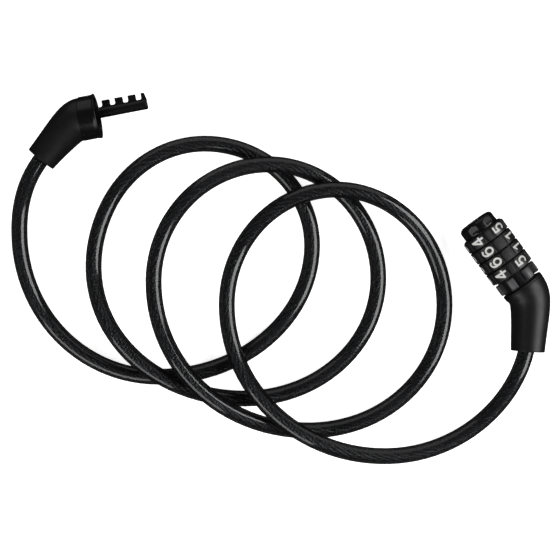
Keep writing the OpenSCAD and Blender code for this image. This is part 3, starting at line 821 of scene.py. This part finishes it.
def boot_mesh(name, size, socket):
    """A boot as a bent sleeve: z counts from its seam towards its mouth.

    Each section spans the outer and the inner curve. The sleeve turns in at
    its mouth to a rounded lip round the cable, and holds the elbow's room.
    """
    across = Vector((math.cos(BEND), math.sin(BEND)))
    along = Vector((-math.sin(BEND), math.cos(BEND)))
    seam_across = Vector((math.cos(size["tilt"]), -math.sin(size["tilt"])))
    corner = Vector((0, size["neck"]))
    mouth = corner + size["arm"] * along

    def curve(side, rise, reach):
        start, end = side * size["front"] * seam_across, mouth + side * size["mouth"] * across
        lean = BEND + side * BOOT_TAPER
        way = Vector((math.sin(lean), -math.cos(lean)))
        return start, start + Vector((0, rise)), end + reach * way, end

    def ring(middle, half):
        turns = [2 * math.pi * k / BOOT_SIDES for k in range(BOOT_SIDES)]
        return [
            (
                half.length * math.sin(t),
                middle.x + half.x * math.cos(t),
                middle.y + half.y * math.cos(t),
            )
            for t in turns
        ]

    outer = curve(1, size["shoulder"], size["flank"])
    inner = curve(-1, size["crotch"], size["underside"])
    rings = [ring(Vector((0, 0)), (size["front"] - 0.3) * seam_across)]
    for i in range(BOOT_STEPS + 1):
        t = 0.008 + 0.992 * i / BOOT_STEPS
        a, b = bezier(*outer, t), bezier(*inner, t ** size["lag"])
        if ((a + b) / 2 - mouth).dot(along) < -BOOT_LIP:
            rings.append(ring((a + b) / 2, (a - b) / 2))
    for i in range(7):
        turn = math.radians(15 * i)
        middle = mouth - BOOT_LIP * (1 - math.sin(turn)) * along
        rings.append(ring(middle, (size["mouth"] - BOOT_LIP * (1 - math.cos(turn))) * across))
    # funnel from the lip to the cable, each ring at its depth in the mouth
    for depth, radius in ((0.0, 6.0), (0.3, 5.7), (1.0, 5.3), (2.2, 4.9), (3.2, CABLE_HOLD)):
        rings.append(ring(mouth - depth * along, radius * across))
    # ferrule's room, then the elbow's, back to the seam
    for distance, radius in (
        (socket + 0.6, CABLE_HOLD), (socket + 0.5, FERRULE_ROOM), (4.0, FERRULE_ROOM),
    ):
        rings.append(ring(corner + distance * along, radius * across))
    half_way = Vector((math.cos(BEND / 2), math.sin(BEND / 2)))
    rings.append(ring(corner, CORNER_ROOM * half_way))
    rings.append(ring(Vector((0, 0.6)), ELBOW_ROOM * seam_across))
    rings.append(ring(Vector((0, 0)), ELBOW_ROOM * seam_across))
    return loft(name, rings, closed=True)


# ---------------------------------------------------------------- finishes
# Each finish: its colour's setting, the constant values of its shader, and
# its patterns of lumps, each with their size in millimetres and their detail:
# of shade, up to a factor of the colour; of roughness, between two values; of
# relief, with a depth in millimetres and a strength. A relief without a size
# follows the wires of a strand.
VINYL = {"IOR": 1.53, "Specular IOR Level": 0.5}
METAL = {"Metallic": 1.0}
FINISHES = {
    # Extruded plasticised vinyl, smoked: glossy, and clear enough that the
    # twisted core shows through as faint slanting stripes. Extrusion leaves
    # waves of a few millimetres, about ten microns deep.
    "smoked_extruded_vinyl": (
        "sheath", {**VINYL, "Alpha": 0.83}, (18, 2, 1.35), (7, 3, 0.06, 0.12), (3.5, 1, 0.06, 0.2)
    ),
    # The same vinyl on the sheath's underside, made nearly opaque: painted shade that keeps the
    # rims dark from above, in place of the long path of light through the vinyl there.
    "deep_smoked_vinyl": (
        "sheath", {**VINYL, "Alpha": 0.97}, (18, 2, 1.35), (7, 3, 0.06, 0.12), (3.5, 1, 0.06, 0.2)
    ),
    # The sheath's bore, wetted by the core so that it has no gloss.
    "smoked_vinyl_bore": (
        "sheath",
        {"IOR": 1.53, "Alpha": 0.05, "Specular IOR Level": 0.0, "Roughness": 0.9},
        (18, 2, 1.3),
    ),
    # Galvanised steel wire: bright zinc, with the fine wires of each strand
    # twisted against its lay.
    "galvanised_steel_strand": (
        "strand", METAL, (5, 2, 0.85), (1.5, 2, 0.24, 0.36), (None, None, 0.25, 0.8)
    ),
    # Injection-moulded thermoplastic elastomer: satin, its highlight spread
    # by an eroded grain of 0.1 mm, drawn at 0.4 mm so that it shows.
    "moulded_elastomer": (
        "boot", {"IOR": 1.5, "Specular IOR Level": 0.3},
        (9, 2, 1.25), (4, 3, 0.36, 0.46), (0.4, 2, 0.02, 0.35),
    ),
    # ABS from a polished mould: deep gloss with a slight sink and ripple.
    "polished_black_abs": (
        "gloss", {"IOR": 1.54, "Specular IOR Level": 0.3},
        (8, 2, 1.3), (3, 3, 0.22, 0.3), (5, 1, 0.04, 0.15),
    ),
    # ABS of the dials and number pads, half-gloss from handling.
    "half_gloss_black_abs": (
        "dial", {"IOR": 1.54, "Specular IOR Level": 0.4},
        (5, 2, 1.3), (2, 3, 0.34, 0.46), (2.5, 1, 0.02, 0.3),
    ),
    # The same ABS down in the grooves, rougher, and painted darker as painted shade in the
    # recesses.
    "dull_black_abs": (
        "groove", {"IOR": 1.54, "Specular IOR Level": 0.25},
        (4, 2, 1.5), (1.5, 2, 0.4, 0.6), (0.6, 2, 0.02, 0.4),
    ),
    # ABS from a spark-eroded mould: matt and paler, with a pebbly grain of
    # 0.05 mm, drawn at 0.3 mm so that it shows.
    "spark_eroded_abs": (
        "plain", {"IOR": 1.54, "Specular IOR Level": 0.4},
        (1.2, 2, 0.85), (1, 2, 0.55, 0.7), (0.3, 2, 0.02, 0.5),
    ),
    # Two-part ink printed on the pads: off-white, thick enough to be felt.
    "white_printing_ink": (
        "ink", {"IOR": 1.5, "Specular IOR Level": 0.3},
        (0.8, 2, 0.95), (0.6, 2, 0.45, 0.6), (0.35, 2, 0.01, 0.3),
    ),
    # Acetal of the index blocks: waxy satin, dark grey, a soft highlight.
    "satin_grey_acetal": (
        "block", {"IOR": 1.48, "Specular IOR Level": 0.7},
        (2.5, 2, 1.15), (1.5, 2, 0.38, 0.5), (0.5, 2, 0.01, 0.3),
    ),
    # Black-passivated zinc plate on the steel key: dark satin, its coating
    # pooled a little, as orange peel of about a millimetre.
    "black_zinc_plated_steel": (
        "coat", {"IOR": 1.5, "Specular IOR Level": 0.22},
        (2, 2, 1.5), (1.5, 3, 0.2, 0.3), (0.9, 2, 0.03, 0.4),
    ),
    # Tumbled zinc die casting: dull bright metal with a soft mottle.
    "tumbled_zinc_casting": (
        "zinc", METAL, (3, 2, 0.8), (1.2, 3, 0.32, 0.48), (0.6, 2, 0.02, 0.4)
    ),
    # Drawn and tempered steel of pins and springs: bright, finely uneven.
    "drawn_tempered_steel": (
        "steel", METAL, (1.5, 2, 0.7), (0.8, 2, 0.22, 0.36), (0.3, 2, 0.01, 0.3)
    ),
    # Soft aluminium sleeve after crimping: pale, with press marks.
    "crimped_aluminium": (
        "aluminium", METAL, (1.5, 2, 0.85), (1, 2, 0.3, 0.5), (1.8, 2, 0.06, 0.4)
    ),
    # Turned brass of the code wheels: warm metal, a little uneven.
    "turned_brass": (
        "brass", METAL, (2, 2, 0.8), (0.7, 2, 0.24, 0.38), (0.25, 2, 0.01, 0.4)
    ),
    # Matt white laminate of the floor: no gloss, hardly any grain.
    "matt_white_laminate": (
        "floor",
        {
            "Roughness": 0.9, "Specular IOR Level": 0.1,
            "Emission Color": (1, 1, 1, 1), "Emission Strength": 0.78,
        },
        (40, 2, 0.99),
    ),
}
# Six wires round a strand, each turning once in 11 mm.
WIRE_LAY = 0.011
WIRES = 6


def wires(tree):
    """Relief of the wires round a strand, twisted along it."""
    around = add_node(tree, "ShaderNodeAttribute", attribute_name="around").outputs["Vector"]
    along = add_node(tree, "ShaderNodeAttribute", attribute_name="along").outputs["Fac"]
    parts = add_node(tree, "ShaderNodeSeparateXYZ", {0: around}).outputs
    value = add_node(tree, "ShaderNodeMath", {0: parts[1], 1: parts[0]}, operation="ARCTAN2")
    for operation, inputs in (
        ("MULTIPLY_ADD", {0: along, 1: -2 * math.pi / WIRE_LAY, 2: value}),
        ("MULTIPLY", {1: WIRES / 2}),
        ("SINE", {}),
        ("ABSOLUTE", {}),
    ):
        value = add_node(tree, "ShaderNodeMath", {0: value, **inputs}, operation=operation)
    return value


def finish_named(name):
    """The material of a finish, made when it is first asked for."""
    if name in bpy.data.materials:
        return bpy.data.materials[name]
    setting, values, shade, *patterns = FINISHES[name]
    material = bpy.data.materials.new(name)
    material.use_nodes = True
    tree = material.node_tree
    tree.nodes.clear()
    shader = add_node(tree, "ShaderNodeBsdfPrincipled", values)
    add_node(tree, "ShaderNodeOutputMaterial", {"Surface": shader})

    size, detail, factor = shade
    colour = tuple(getattr(bpy.context.scene.lock_finish, setting))
    other = (*(min(1.0, c * factor) for c in colour[:3]), 1.0)
    mixed = add_node(
        tree, "ShaderNodeMix", {0: lumps(tree, size, detail), 6: colour, 7: other}, data_type="RGBA"
    )
    tree.links.new(mixed.outputs[2], shader.inputs["Base Color"])
    if not patterns:
        return material

    (size, detail, low, high), (grain, grain_detail, depth, strength) = patterns
    # most of a noise pattern lies between 0.3 and 0.7
    ends = {"From Min": 0.3, "From Max": 0.7, "To Min": low, "To Max": high}
    spread = add_node(tree, "ShaderNodeMapRange", {"Value": lumps(tree, size, detail), **ends})
    tree.links.new(spread.outputs[0], shader.inputs["Roughness"])
    height = lumps(tree, grain, grain_detail) if grain else wires(tree)
    relief = {"Height": height, "Strength": strength, "Distance": depth / 1000}
    bump = add_node(tree, "ShaderNodeBump", relief)
    tree.links.new(bump.outputs[0], shader.inputs["Normal"])
    return material


# ---------------------------------------------------------------- operators
# Softboxes: azimuth, angle from straight up, distance, width, height, and
# their setting of radiance.
SOFTBOXES = {
    "right_softbox": (0, 54, 2.0, 2.0, 1.45, "key_light"),
    "far_softbox": (90, 68, 2.4, 4.0, 2.4, "far_light"),
    "near_left_softbox": (-126, 55, 2.0, 1.5, 1.0, "left_light"),
    "fill_softbox": (-143, 50, 2.0, 1.6, 1.6, "fill_light"),
}
FLOOR_HALF, FLOOR_DROP = 3.0, 0.0002


class BuildStage(bpy.types.Operator):
    """Adds the camera, the softboxes, the room and the floor"""

    bl_idname = "cable_lock.build_stage"
    bl_label = "Stage"

    def execute(self, context):
        stage = context.scene.lock_stage
        centre = Vector((*stage.centre, 0))
        camera = bpy.data.objects.new("camera", bpy.data.cameras.new("camera"))
        camera.data.sensor_fit = "HORIZONTAL"
        camera.data.angle = stage.view
        camera.data.clip_start = 0.01
        camera.location = centre + Vector((0, 0, stage.height))
        context.scene.collection.objects.link(camera)
        context.scene.camera = camera

        for name, (azimuth, tilt, distance, width, height, setting) in SOFTBOXES.items():
            lamp = bpy.data.lights.new(name, "AREA")
            lamp.shape = "RECTANGLE"
            lamp.size, lamp.size_y = width, height
            lamp.energy = getattr(stage, setting) * math.pi * width * height
            holder = bpy.data.objects.new(name, lamp)
            around, lean = math.radians(azimuth), math.radians(tilt)
            way = Vector(
                (
                    math.sin(lean) * math.cos(around),
                    math.sin(lean) * math.sin(around),
                    math.cos(lean),
                )
            )
            holder.location = centre + distance * way
            holder.rotation_euler = way.to_track_quat("Z", "Y").to_euler()
            # the fill brings up matt surfaces and leaves no mirror image
            holder.visible_glossy = name != "fill_softbox"
            context.scene.collection.objects.link(holder)

        world = bpy.data.worlds.new("room")
        context.scene.world = world
        world.use_nodes = True
        tree = world.node_tree
        tree.nodes.clear()
        seen = add_node(tree, "ShaderNodeLightPath").outputs["Is Camera Ray"]
        ends = {"To Min": stage.room, "To Max": stage.backdrop}
        level = add_node(tree, "ShaderNodeMapRange", {"Value": seen, **ends})
        white = (1, 1, 1, 1)
        walls = add_node(tree, "ShaderNodeBackground", {"Color": white, "Strength": level})
        add_node(tree, "ShaderNodeOutputWorld", {"Surface": walls})
        context.scene.view_settings.view_transform = "Standard"

        mesh = bpy.data.meshes.new("floor")
        corners = [
            (x * FLOOR_HALF, y * FLOOR_HALF, -FLOOR_DROP)
            for x, y in ((-1, -1), (1, -1), (1, 1), (-1, 1))
        ]
        mesh.from_pydata(corners, [], [(0, 1, 2, 3)])
        floor = bpy.data.objects.new("floor", mesh)
        context.scene.collection.objects.link(floor)
        mesh.materials.append(finish_named("matt_white_laminate"))
        # white by itself, so the lock mirrors only the softboxes and the room
        floor.visible_glossy = False
        floor.visible_diffuse = False
        return {"FINISHED"}


# Steps of the route for each quarter of a loop, sides of the sheath, and how
# far the core goes on into each ferrule.
ROUTE_STEPS = 26
SHEATH_SIDES = 40
CORE_BITE = 6.8


class BuildCable(bpy.types.Operator):
    """Builds the smoked sheath and the twisted core on the same route"""

    bl_idname = "cable_lock.build_cable"
    bl_label = "Cable"

    def execute(self, context):
        cable = context.scene.lock_cable
        line = cable_route(ROUTE_STEPS, mm(cable.diameter))
        skin = tube_rings(line, mm(cable.diameter) / 2, SHEATH_SIDES)
        bore = tube_rings(line, mm(cable.bore) / 2, SHEATH_SIDES)
        mesh = loft("cable_sheath_tube", [*skin, *reversed(bore)], closed=True)
        for name in ("smoked_extruded_vinyl", "smoked_vinyl_bore", "deep_smoked_vinyl"):
            mesh.materials.append(finish_named(name))
        # light beside the core crosses several millimetres of vinyl, which one thin surface can't
        # darken, so the underside takes a nearly opaque copy of the vinyl: painted shade that keeps
        # the rims dark
        outer = (len(line) - 1) * SHEATH_SIDES
        for i, face in enumerate(mesh.polygons):
            if i >= outer:
                face.material_index = 1
            elif not SHEATH_SIDES / 4 <= i % SHEATH_SIDES < 3 * SHEATH_SIDES / 4:
                face.material_index = 2
        sheath = add_piece(
            "cable_sheath_tube", mesh, WORLD_MM, BODY, ["cable_sheath"]
        )

        key_end = line[0] + CORE_BITE * (line[0] - line[1]).normalized()
        lock_end = line[-1] + CORE_BITE * (line[-1] - line[-2]).normalized()
        points = [tuple(p / 1000) for p in (key_end, *line, lock_end)]
        route = bpy.data.meshes.new("core_route")
        route.from_pydata(points, [(i, i + 1) for i in range(len(points) - 1)], [])
        # six strands round a straight one of the same size
        radius = cable.core / 6
        values = {
            "Strands": cable.strands,
            "Lay": cable.lay,
            "Pitch radius": cable.core / 2 - radius,
            "Strand radius": radius,
            "Ring spacing": 0.0012,
            "Sides": 10,
            "Material": finish_named("galvanised_steel_strand"),
        }
        tree = strand_tree()
        outer_strands = grow("outer_strands", route.copy(), tree, values)
        values.update({"Strands": 1, "Pitch radius": 0.0, "Ring spacing": 0.004})
        core = join("core", [outer_strands, grow("king_strand", route, tree, values)])
        add_piece("cable_core_strands", core, UNMOVED, BODY, ["cable_core"])
        return {"FINISHED"}


# Sizes of each boot in millimetres: half its height at the seam (front) and
# at the mouth, its neck and arm, and the reach of the control points of its
# outer curve (shoulder, flank) and its inner one (crotch, underside). Tilt is
# the seam's slant, and a lag over 1 holds the inner curve back near the seam.
KEY_BOOT = {
    "neck": KEY_NECK, "arm": KEY_ARM, "mouth": 8.2, "shoulder": 10.2, "flank": 20.8,
    "crotch": 1.5, "underside": 8.0, "lag": 1.8,
}
LOCK_BOOT = {
    "front": 11.7, "tilt": 0.0, "neck": LOCK_NECK, "arm": LOCK_ARM, "mouth": 8.9,
    "shoulder": 13.4, "flank": 22.2, "crotch": 4.5, "underside": 30.0, "lag": 1.0,
}
# From the corner of each bend to the end of the ferrule.
KEY_SOCKET, LOCK_SOCKET = 12.5, 10.7


class BuildBoots(bpy.types.Operator):
    """Builds the two elastomer boots as bent sleeves"""

    bl_idname = "cable_lock.build_boots"
    bl_label = "Boots"

    def execute(self, context):
        key = context.scene.lock_key
        seam = {"front": mm(key.collar) / 2 - 0.3, "tilt": key.seam}
        key_boot = boot_mesh("key_boot", {**KEY_BOOT, **seam}, KEY_SOCKET)
        # mirrored to lead back from the collar, which turns its faces inward
        key_boot.transform(Matrix.Diagonal((1, 1, -1, 1)))
        key_boot.flip_normals()
        shifted(key_boot, -mm(key.collar_length))
        lock_boot = shifted(boot_mesh("lock_boot", LOCK_BOOT, LOCK_SOCKET), LOCK_SEAM)
        slot, finish = "satin_elastomer", "moulded_elastomer"
        add_piece("key_boot_sleeve", key_boot, KEY_HEAD, BODY, ["key_boot"], finish)
        add_piece("lock_boot_sleeve", lock_boot, LOCK_HEAD, BODY, ["lock_boot"], finish)
        return {"FINISHED"}


class BuildCollar(bpy.types.Operator):
    """Builds the key's glossy collar with its cup"""

    bl_idname = "cable_lock.build_collar"
    bl_label = "Collar"

    def execute(self, context):
        key = context.scene.lock_key
        outer, length = mm(key.collar) / 2, mm(key.collar_length)
        cup, depth = outer - mm(key.wall), mm(key.cup)
        lip, flare = mm(key.lip) / 2, mm(key.lip_length)
        hole, centre = mm(key.shank) / 2 + 0.05, (0, mm(key.offset))
        back = -depth - 2.0
        sides = 128

        def seam_ring(radius, inset=0.0):
            slope = math.tan(key.seam)
            return [(x, y, inset - length + y * slope) for x, y, _ in circle(radius, 0, sides)]

        # the skin up to its flare, the lip's two rounded edges and the cup's floor
        profile = [
            (outer + (lip - outer) * share, -flare * (1 - at))
            for at, share in ((-0.3, 0), (0, 0.04), (0.3, 0.25), (0.6, 0.62))
        ]
        profile += oval((lip - 0.4, -0.4), 0.4, 0.4, 0, 90, 5)
        profile += oval((cup + 0.3, -0.3), 0.3, 0.3, 90, 180, 4)
        profile += oval((cup - 0.5, 0.5 - depth), 0.5, 0.5, 0, -90, 4)
        rings = [
            seam_ring(outer - 0.15),
            seam_ring(outer, 0.15),
            *(circle(r, z, sides) for r, z in profile),
            circle(hole, -depth, sides, centre),
            circle(hole, back, sides, centre),
            circle(ELBOW_ROOM, back, sides),
            seam_ring(ELBOW_ROOM),
        ]
        name = "key_collar_cup"
        mesh = loft(name, rings, closed=True)
        finish = "polished_black_abs"
        add_piece(name, mesh, KEY_HEAD, BODY, ["key_collar"], finish, 40)
        return {"FINISHED"}


# Gap round a part that sits on the barrel or in the cup.
FIT = 0.03


class BuildKey(bpy.types.Operator):
    """Builds the toothed key: a round shank with a notched fin"""

    bl_idname = "cable_lock.build_key"
    bl_label = "Key"

    def execute(self, context):
        key, head = context.scene.lock_key, context.scene.lock_head
        radius, offset, tooth = mm(key.shank) / 2, mm(key.offset), mm(key.tooth)
        first, notch, pitch = mm(key.first), mm(key.notch), mm(head.pitch)
        reach = first + 3 * pitch + notch / 2 + mm(key.tip)
        floor, top = offset + radius, offset + radius + tooth
        root = KEY_CORNER + 0.8
        profile = (
            (radius - 0.3, -root), (radius, -root + 0.3), (radius, reach - 0.6),
            (radius - 0.25, reach - 0.2), (radius - 0.6, reach),
        )
        shank = loft("shank", [circle(r, z, 64, (0, offset)) for r, z in profile])

        # outline of the fin, its notches with round corners, as (z, y) points
        corner, foot = notch / 3, -mm(key.cup) + FIT
        outline = [(foot, offset), (reach, offset), (reach, floor), (reach - 0.8, top)]
        for i in reversed(range(DIAL_COUNT)):
            right, left = first + i * pitch + notch / 2, first + i * pitch - notch / 2
            level = floor + corner
            outline.append((right, top))
            outline += oval((right - corner, level), corner, corner, 0, -90, 6)
            outline += oval((left + corner, level), corner, corner, -90, -180, 6)
            outline.append((left, top))
        outline.append((foot, top))
        half = mm(key.fin) / 2
        edit = bmesh.new()
        face = edit.faces.new([edit.verts.new((-half, y, z)) for z, y in outline])
        grown = bmesh.ops.extrude_face_region(edit, geom=[face])
        for item in grown["geom"]:
            if isinstance(item, bmesh.types.BMVert):
                item.co.x = half
        bmesh.ops.recalc_face_normals(edit, faces=edit.faces)
        edges = [
            e
            for e in edit.edges
            if len(e.link_faces) == 2
            and e.calc_face_angle() > math.radians(40)
            and min(v.co.y for v in e.verts) > offset + 0.1
        ]
        round_edges(edit, edges, 0.22, 3, clamp_overlap=True)
        mesh = cut(shank, mesh_from(edit, "fin"), "UNION")
        name, finish = "key_blade_toothed", "black_zinc_plated_steel"
        add_piece(name, mesh, KEY_HEAD, BODY, ["key_blade"], finish, 30)
        return {"FINISHED"}


# How far under its full radius each surface of a dial lies: a number's ink, a
# number pad, a plain pad, the floor of the grooves and the foot of the pads.
INK_DROP, PAD_DROP, PLAIN_DROP, GROOVE_DROP, FOOT_DROP = 0.02, 0.07, 0.14, 0.6, 2.0
INK_FOOT = 0.1


class BuildDials(bpy.types.Operator):
    """Builds four dials with their number pads, plain pads and numbers"""

    bl_idname = "cable_lock.build_dials"
    bl_label = "Dials"

    def execute(self, context):
        head = context.scene.lock_head
        radius, width = mm(head.dial) / 2, mm(head.pitch - head.gap)
        bore, drum, base = mm(head.bore) / 2, radius - GROOVE_DROP, radius - FOOT_DROP
        pad_top, plain_top, ink_top = radius - PAD_DROP, radius - PLAIN_DROP, radius - INK_DROP
        pad, figure, stroke = mm(head.pad), mm(head.figure), mm(head.stroke)
        places = [*head.places, 2 * math.pi]
        steps = [after - place for place, after in zip(places, places[1:])]
        digits = range(1, PLACES + 1)
        figures = [
            figure_mesh(digit, figure, stroke, pad_top - INK_FOOT, ink_top) for digit in digits
        ]
        for row in range(DIAL_COUNT):
            start = mm(head.cap_length + row * head.pitch + head.gap / 2)
            middle, end = start + width / 2, start + width
            # only the first dial has a slanted front
            slant = mm(head.front_chamfer) if row == 0 else 0.0
            front = [(drum, start, 0.4)]
            if slant:
                front = [(drum - slant, start, 0.1), (drum, start + slant, 0.3)]
            outline = [(bore, start, 0.2), *front, (drum, end, 0.4), (bore, end, 0.2)]
            ring = lathe(f"drum_{row + 1}", rounded_outline(outline), 180)
            # the drum's groove floor and sides are painted darker, as painted shade
            ring.materials.append(finish_named("dull_black_abs"))
            turns = [digit_turn(head, row, digit) for digit in digits]

            def pads(kind, piece, turns, finish):
                piece = slant_front(shifted(piece, middle), start + slant)
                return ring_of(f"{kind}_{row + 1}", piece, turns, finish)

            number_pad = rounded_box(
                pad, width - 0.2, base, pad_top, corner=1.2, edge=0.4, cuts=12
            )
            parts = [ring, pads("pads", number_pad, turns, "half_gloss_black_abs")]
            for turn, step in zip(turns, steps):
                # the grooves beside a plain pad are narrow only in the widest gap
                groove = mm(head.groove) if step == max(steps) else 1.3 * mm(head.groove)
                across = radius * step - pad - 2 * groove
                if across < 1.0:
                    continue
                corner = min(1.7, 0.45 * across)
                plain_pad = rounded_box(
                    across, width - 0.4, base, plain_top, corner, edge=0.5, cuts=8
                )
                parts.append(pads("plain", plain_pad, [turn - step / 2], "spark_eroded_abs"))
            name = f"dial_{row + 1}"
            body, mesh = f"{name}_set", join(name, parts)
            add_piece(f"{name}_drum", mesh, LOCK_HEAD, body, [name], None, 40)
            inked = []
            for shape, turn in zip(figures, turns):
                printed = shape.copy()
                printed.transform(Matrix.Rotation(turn, 4, "Z"))
                inked.append(slant_front(shifted(printed, middle), start + slant))
            numbers, ink = join(name, inked), "white_printing_ink"
            add_piece(f"{name}_numbers", numbers, LOCK_HEAD, body, finish=ink)
        return {"FINISHED"}


class BuildIndexRing(bpy.types.Operator):
    """Builds the fixed ring with its index blocks"""

    bl_idname = "cable_lock.build_index_ring"
    bl_label = "Index ring"

    def execute(self, context):
        head = context.scene.lock_head
        front = head.cap_length + DIAL_COUNT * head.pitch
        start, end = mm(front + head.gap / 2), mm(front + head.ring_length)
        floor, top, bore = mm(head.ring_floor) / 2, mm(head.block) / 2, mm(head.barrel) / 2 + FIT
        flange, rim = end - 1.2, top - 0.3
        outline = [
            (bore, start, 0), (floor, start, 0.2), (floor, flange, 0.5),
            (rim, flange, 0.35), (rim, end, 0.15), (bore, end, 0),
        ]
        ring = lathe("index_ring", rounded_outline(outline), 160)
        # the ring's floor between the blocks is painted darker, as painted shade
        ring.materials.append(finish_named("dull_black_abs"))
        length = mm(head.block_length)
        marker = rounded_box(
            mm(head.block_width), length, floor - 0.6, top, corner=0.7, edge=0.8, cuts=10
        )
        middle = mm(front + head.block_inset) + length / 2
        turns = [math.pi - head.shown + k * head.block_step for k in range(-3, 3)]
        blocks = ring_of("blocks", shifted(marker, middle), turns, "satin_grey_acetal")
        name, mesh = "index_ring_blocks", join("index_ring", [ring, blocks])
        add_piece(name, mesh, LOCK_HEAD, BODY, ["index_ring"], None, 40)
        return {"FINISHED"}


class BuildEndCap(bpy.types.Operator):
    """Builds the glossy cap with its domed edge, flats and keyhole"""

    bl_idname = "cable_lock.build_end_cap"
    bl_label = "End cap"

    def execute(self, context):
        head, key = context.scene.lock_head, context.scene.lock_key
        radius, bore = mm(head.cap) / 2, mm(head.barrel) / 2 + FIT
        rounding, back = 2.6, mm(head.cap_length) - 0.1
        outline = [(bore, 0.5), (bore + 0.15, 0.1), (bore + 0.5, 0.0)]
        outline += oval((radius - rounding, rounding), rounding, rounding, -90, 0, 12)
        outline += [(radius, z) for z in (3.2, 4.0, 4.8, 5.4)]
        outline += [(radius - 0.05, back - 0.12), (radius - 0.2, back)]
        outline += [(6.5, back), (6.5, 5.15), (bore, 5.15)]
        mesh = lathe("end_cap", outline, 240)

        def wrapped(angle):
            return (angle + math.pi) % (2 * math.pi) - math.pi

        # a flat in line with each index block, up to 5 mm from the front
        flat, first, step = radius - 0.35, math.pi - head.shown, head.block_step
        for vert in mesh.vertices:
            reach = math.hypot(vert.co.x, vert.co.y)
            turn = math.atan2(vert.co.y, vert.co.x)
            place = max(-3, min(2, round(wrapped(turn - first) / step)))
            limit = flat / math.cos(wrapped(turn - first - place * step))
            if reach > limit and vert.co.z < 5.0:
                vert.co.x *= limit / reach
                vert.co.y *= limit / reach
        gate = mm(key.fin) + 0.4
        reach = mm(key.offset) + mm(key.shank) / 2 + mm(key.tooth) + 0.4
        mesh = cut(mesh, mesh_from(box((-reach, -gate / 2, -1), (0, gate / 2, 9)), "slot"))
        name, finish = "end_cap_domed", "polished_black_abs"
        add_piece(name, mesh, LOCK_HEAD, BODY, ["end_cap"], finish, 30)
        return {"FINISHED"}


class FinishInside(bpy.types.Operator):
    """Gives the metal parts inside the heads their finishes"""

    bl_idname = "cable_lock.finish_inside"
    bl_label = "Inner metal parts"

    def execute(self, context):
        kinds = {
            "tumbled_zinc_casting": ("key_elbow", "lock_elbow", "lock_barrel"),
            "drawn_tempered_steel": ("key_pin", "lock_pin", "detent_spring", "retaining_clip"),
            "crimped_aluminium": ("key_ferrule", "lock_ferrule"),
            "turned_brass": [f"code_wheel_{i + 1}" for i in range(DIAL_COUNT)],
        }
        for finish, names in kinds.items():
            for name in names:
                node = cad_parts[name]
                for place in node.material_slots:
                    place.material = finish_named(finish)
                if not node.material_slots:
                    node.data.materials.append(finish_named(finish))
        return {"FINISHED"}


class CableLockPanel(bpy.types.Panel):
    """Lists the steps that build the lock"""

    bl_label = "Cable Lock"
    bl_idname = "VIEW3D_PT_cable_lock"
    bl_space_type = "VIEW_3D"
    bl_region_type = "UI"
    bl_category = "Cable Lock"

    def draw(self, context):
        for step in STEPS:
            self.layout.operator(step.bl_idname)


SETTINGS = {
    "lock_cable": CableSettings,
    "lock_head": LockSettings,
    "lock_key": KeySettings,
    "lock_finish": FinishSettings,
    "lock_stage": StageSettings,
}
STEPS = (
    BuildStage,
    BuildCable,
    BuildBoots,
    BuildCollar,
    BuildKey,
    BuildDials,
    BuildIndexRing,
    BuildEndCap,
    FinishInside,
)


def register():
    for kind in (*SETTINGS.values(), *STEPS, CableLockPanel):
        bpy.utils.register_class(kind)
    for name, kind in SETTINGS.items():
        setattr(bpy.types.Scene, name, PointerProperty(type=kind))


def unregister():
    for name in SETTINGS:
        delattr(bpy.types.Scene, name)
    for kind in (CableLockPanel, *reversed(STEPS), *reversed(list(SETTINGS.values()))):
        bpy.utils.unregister_class(kind)


def main():
    """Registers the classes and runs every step."""
    register()
    for step in STEPS:
        group, name = step.bl_idname.split(".")
        getattr(getattr(bpy.ops, group), name)()


if __name__ == "__main__":
    main()
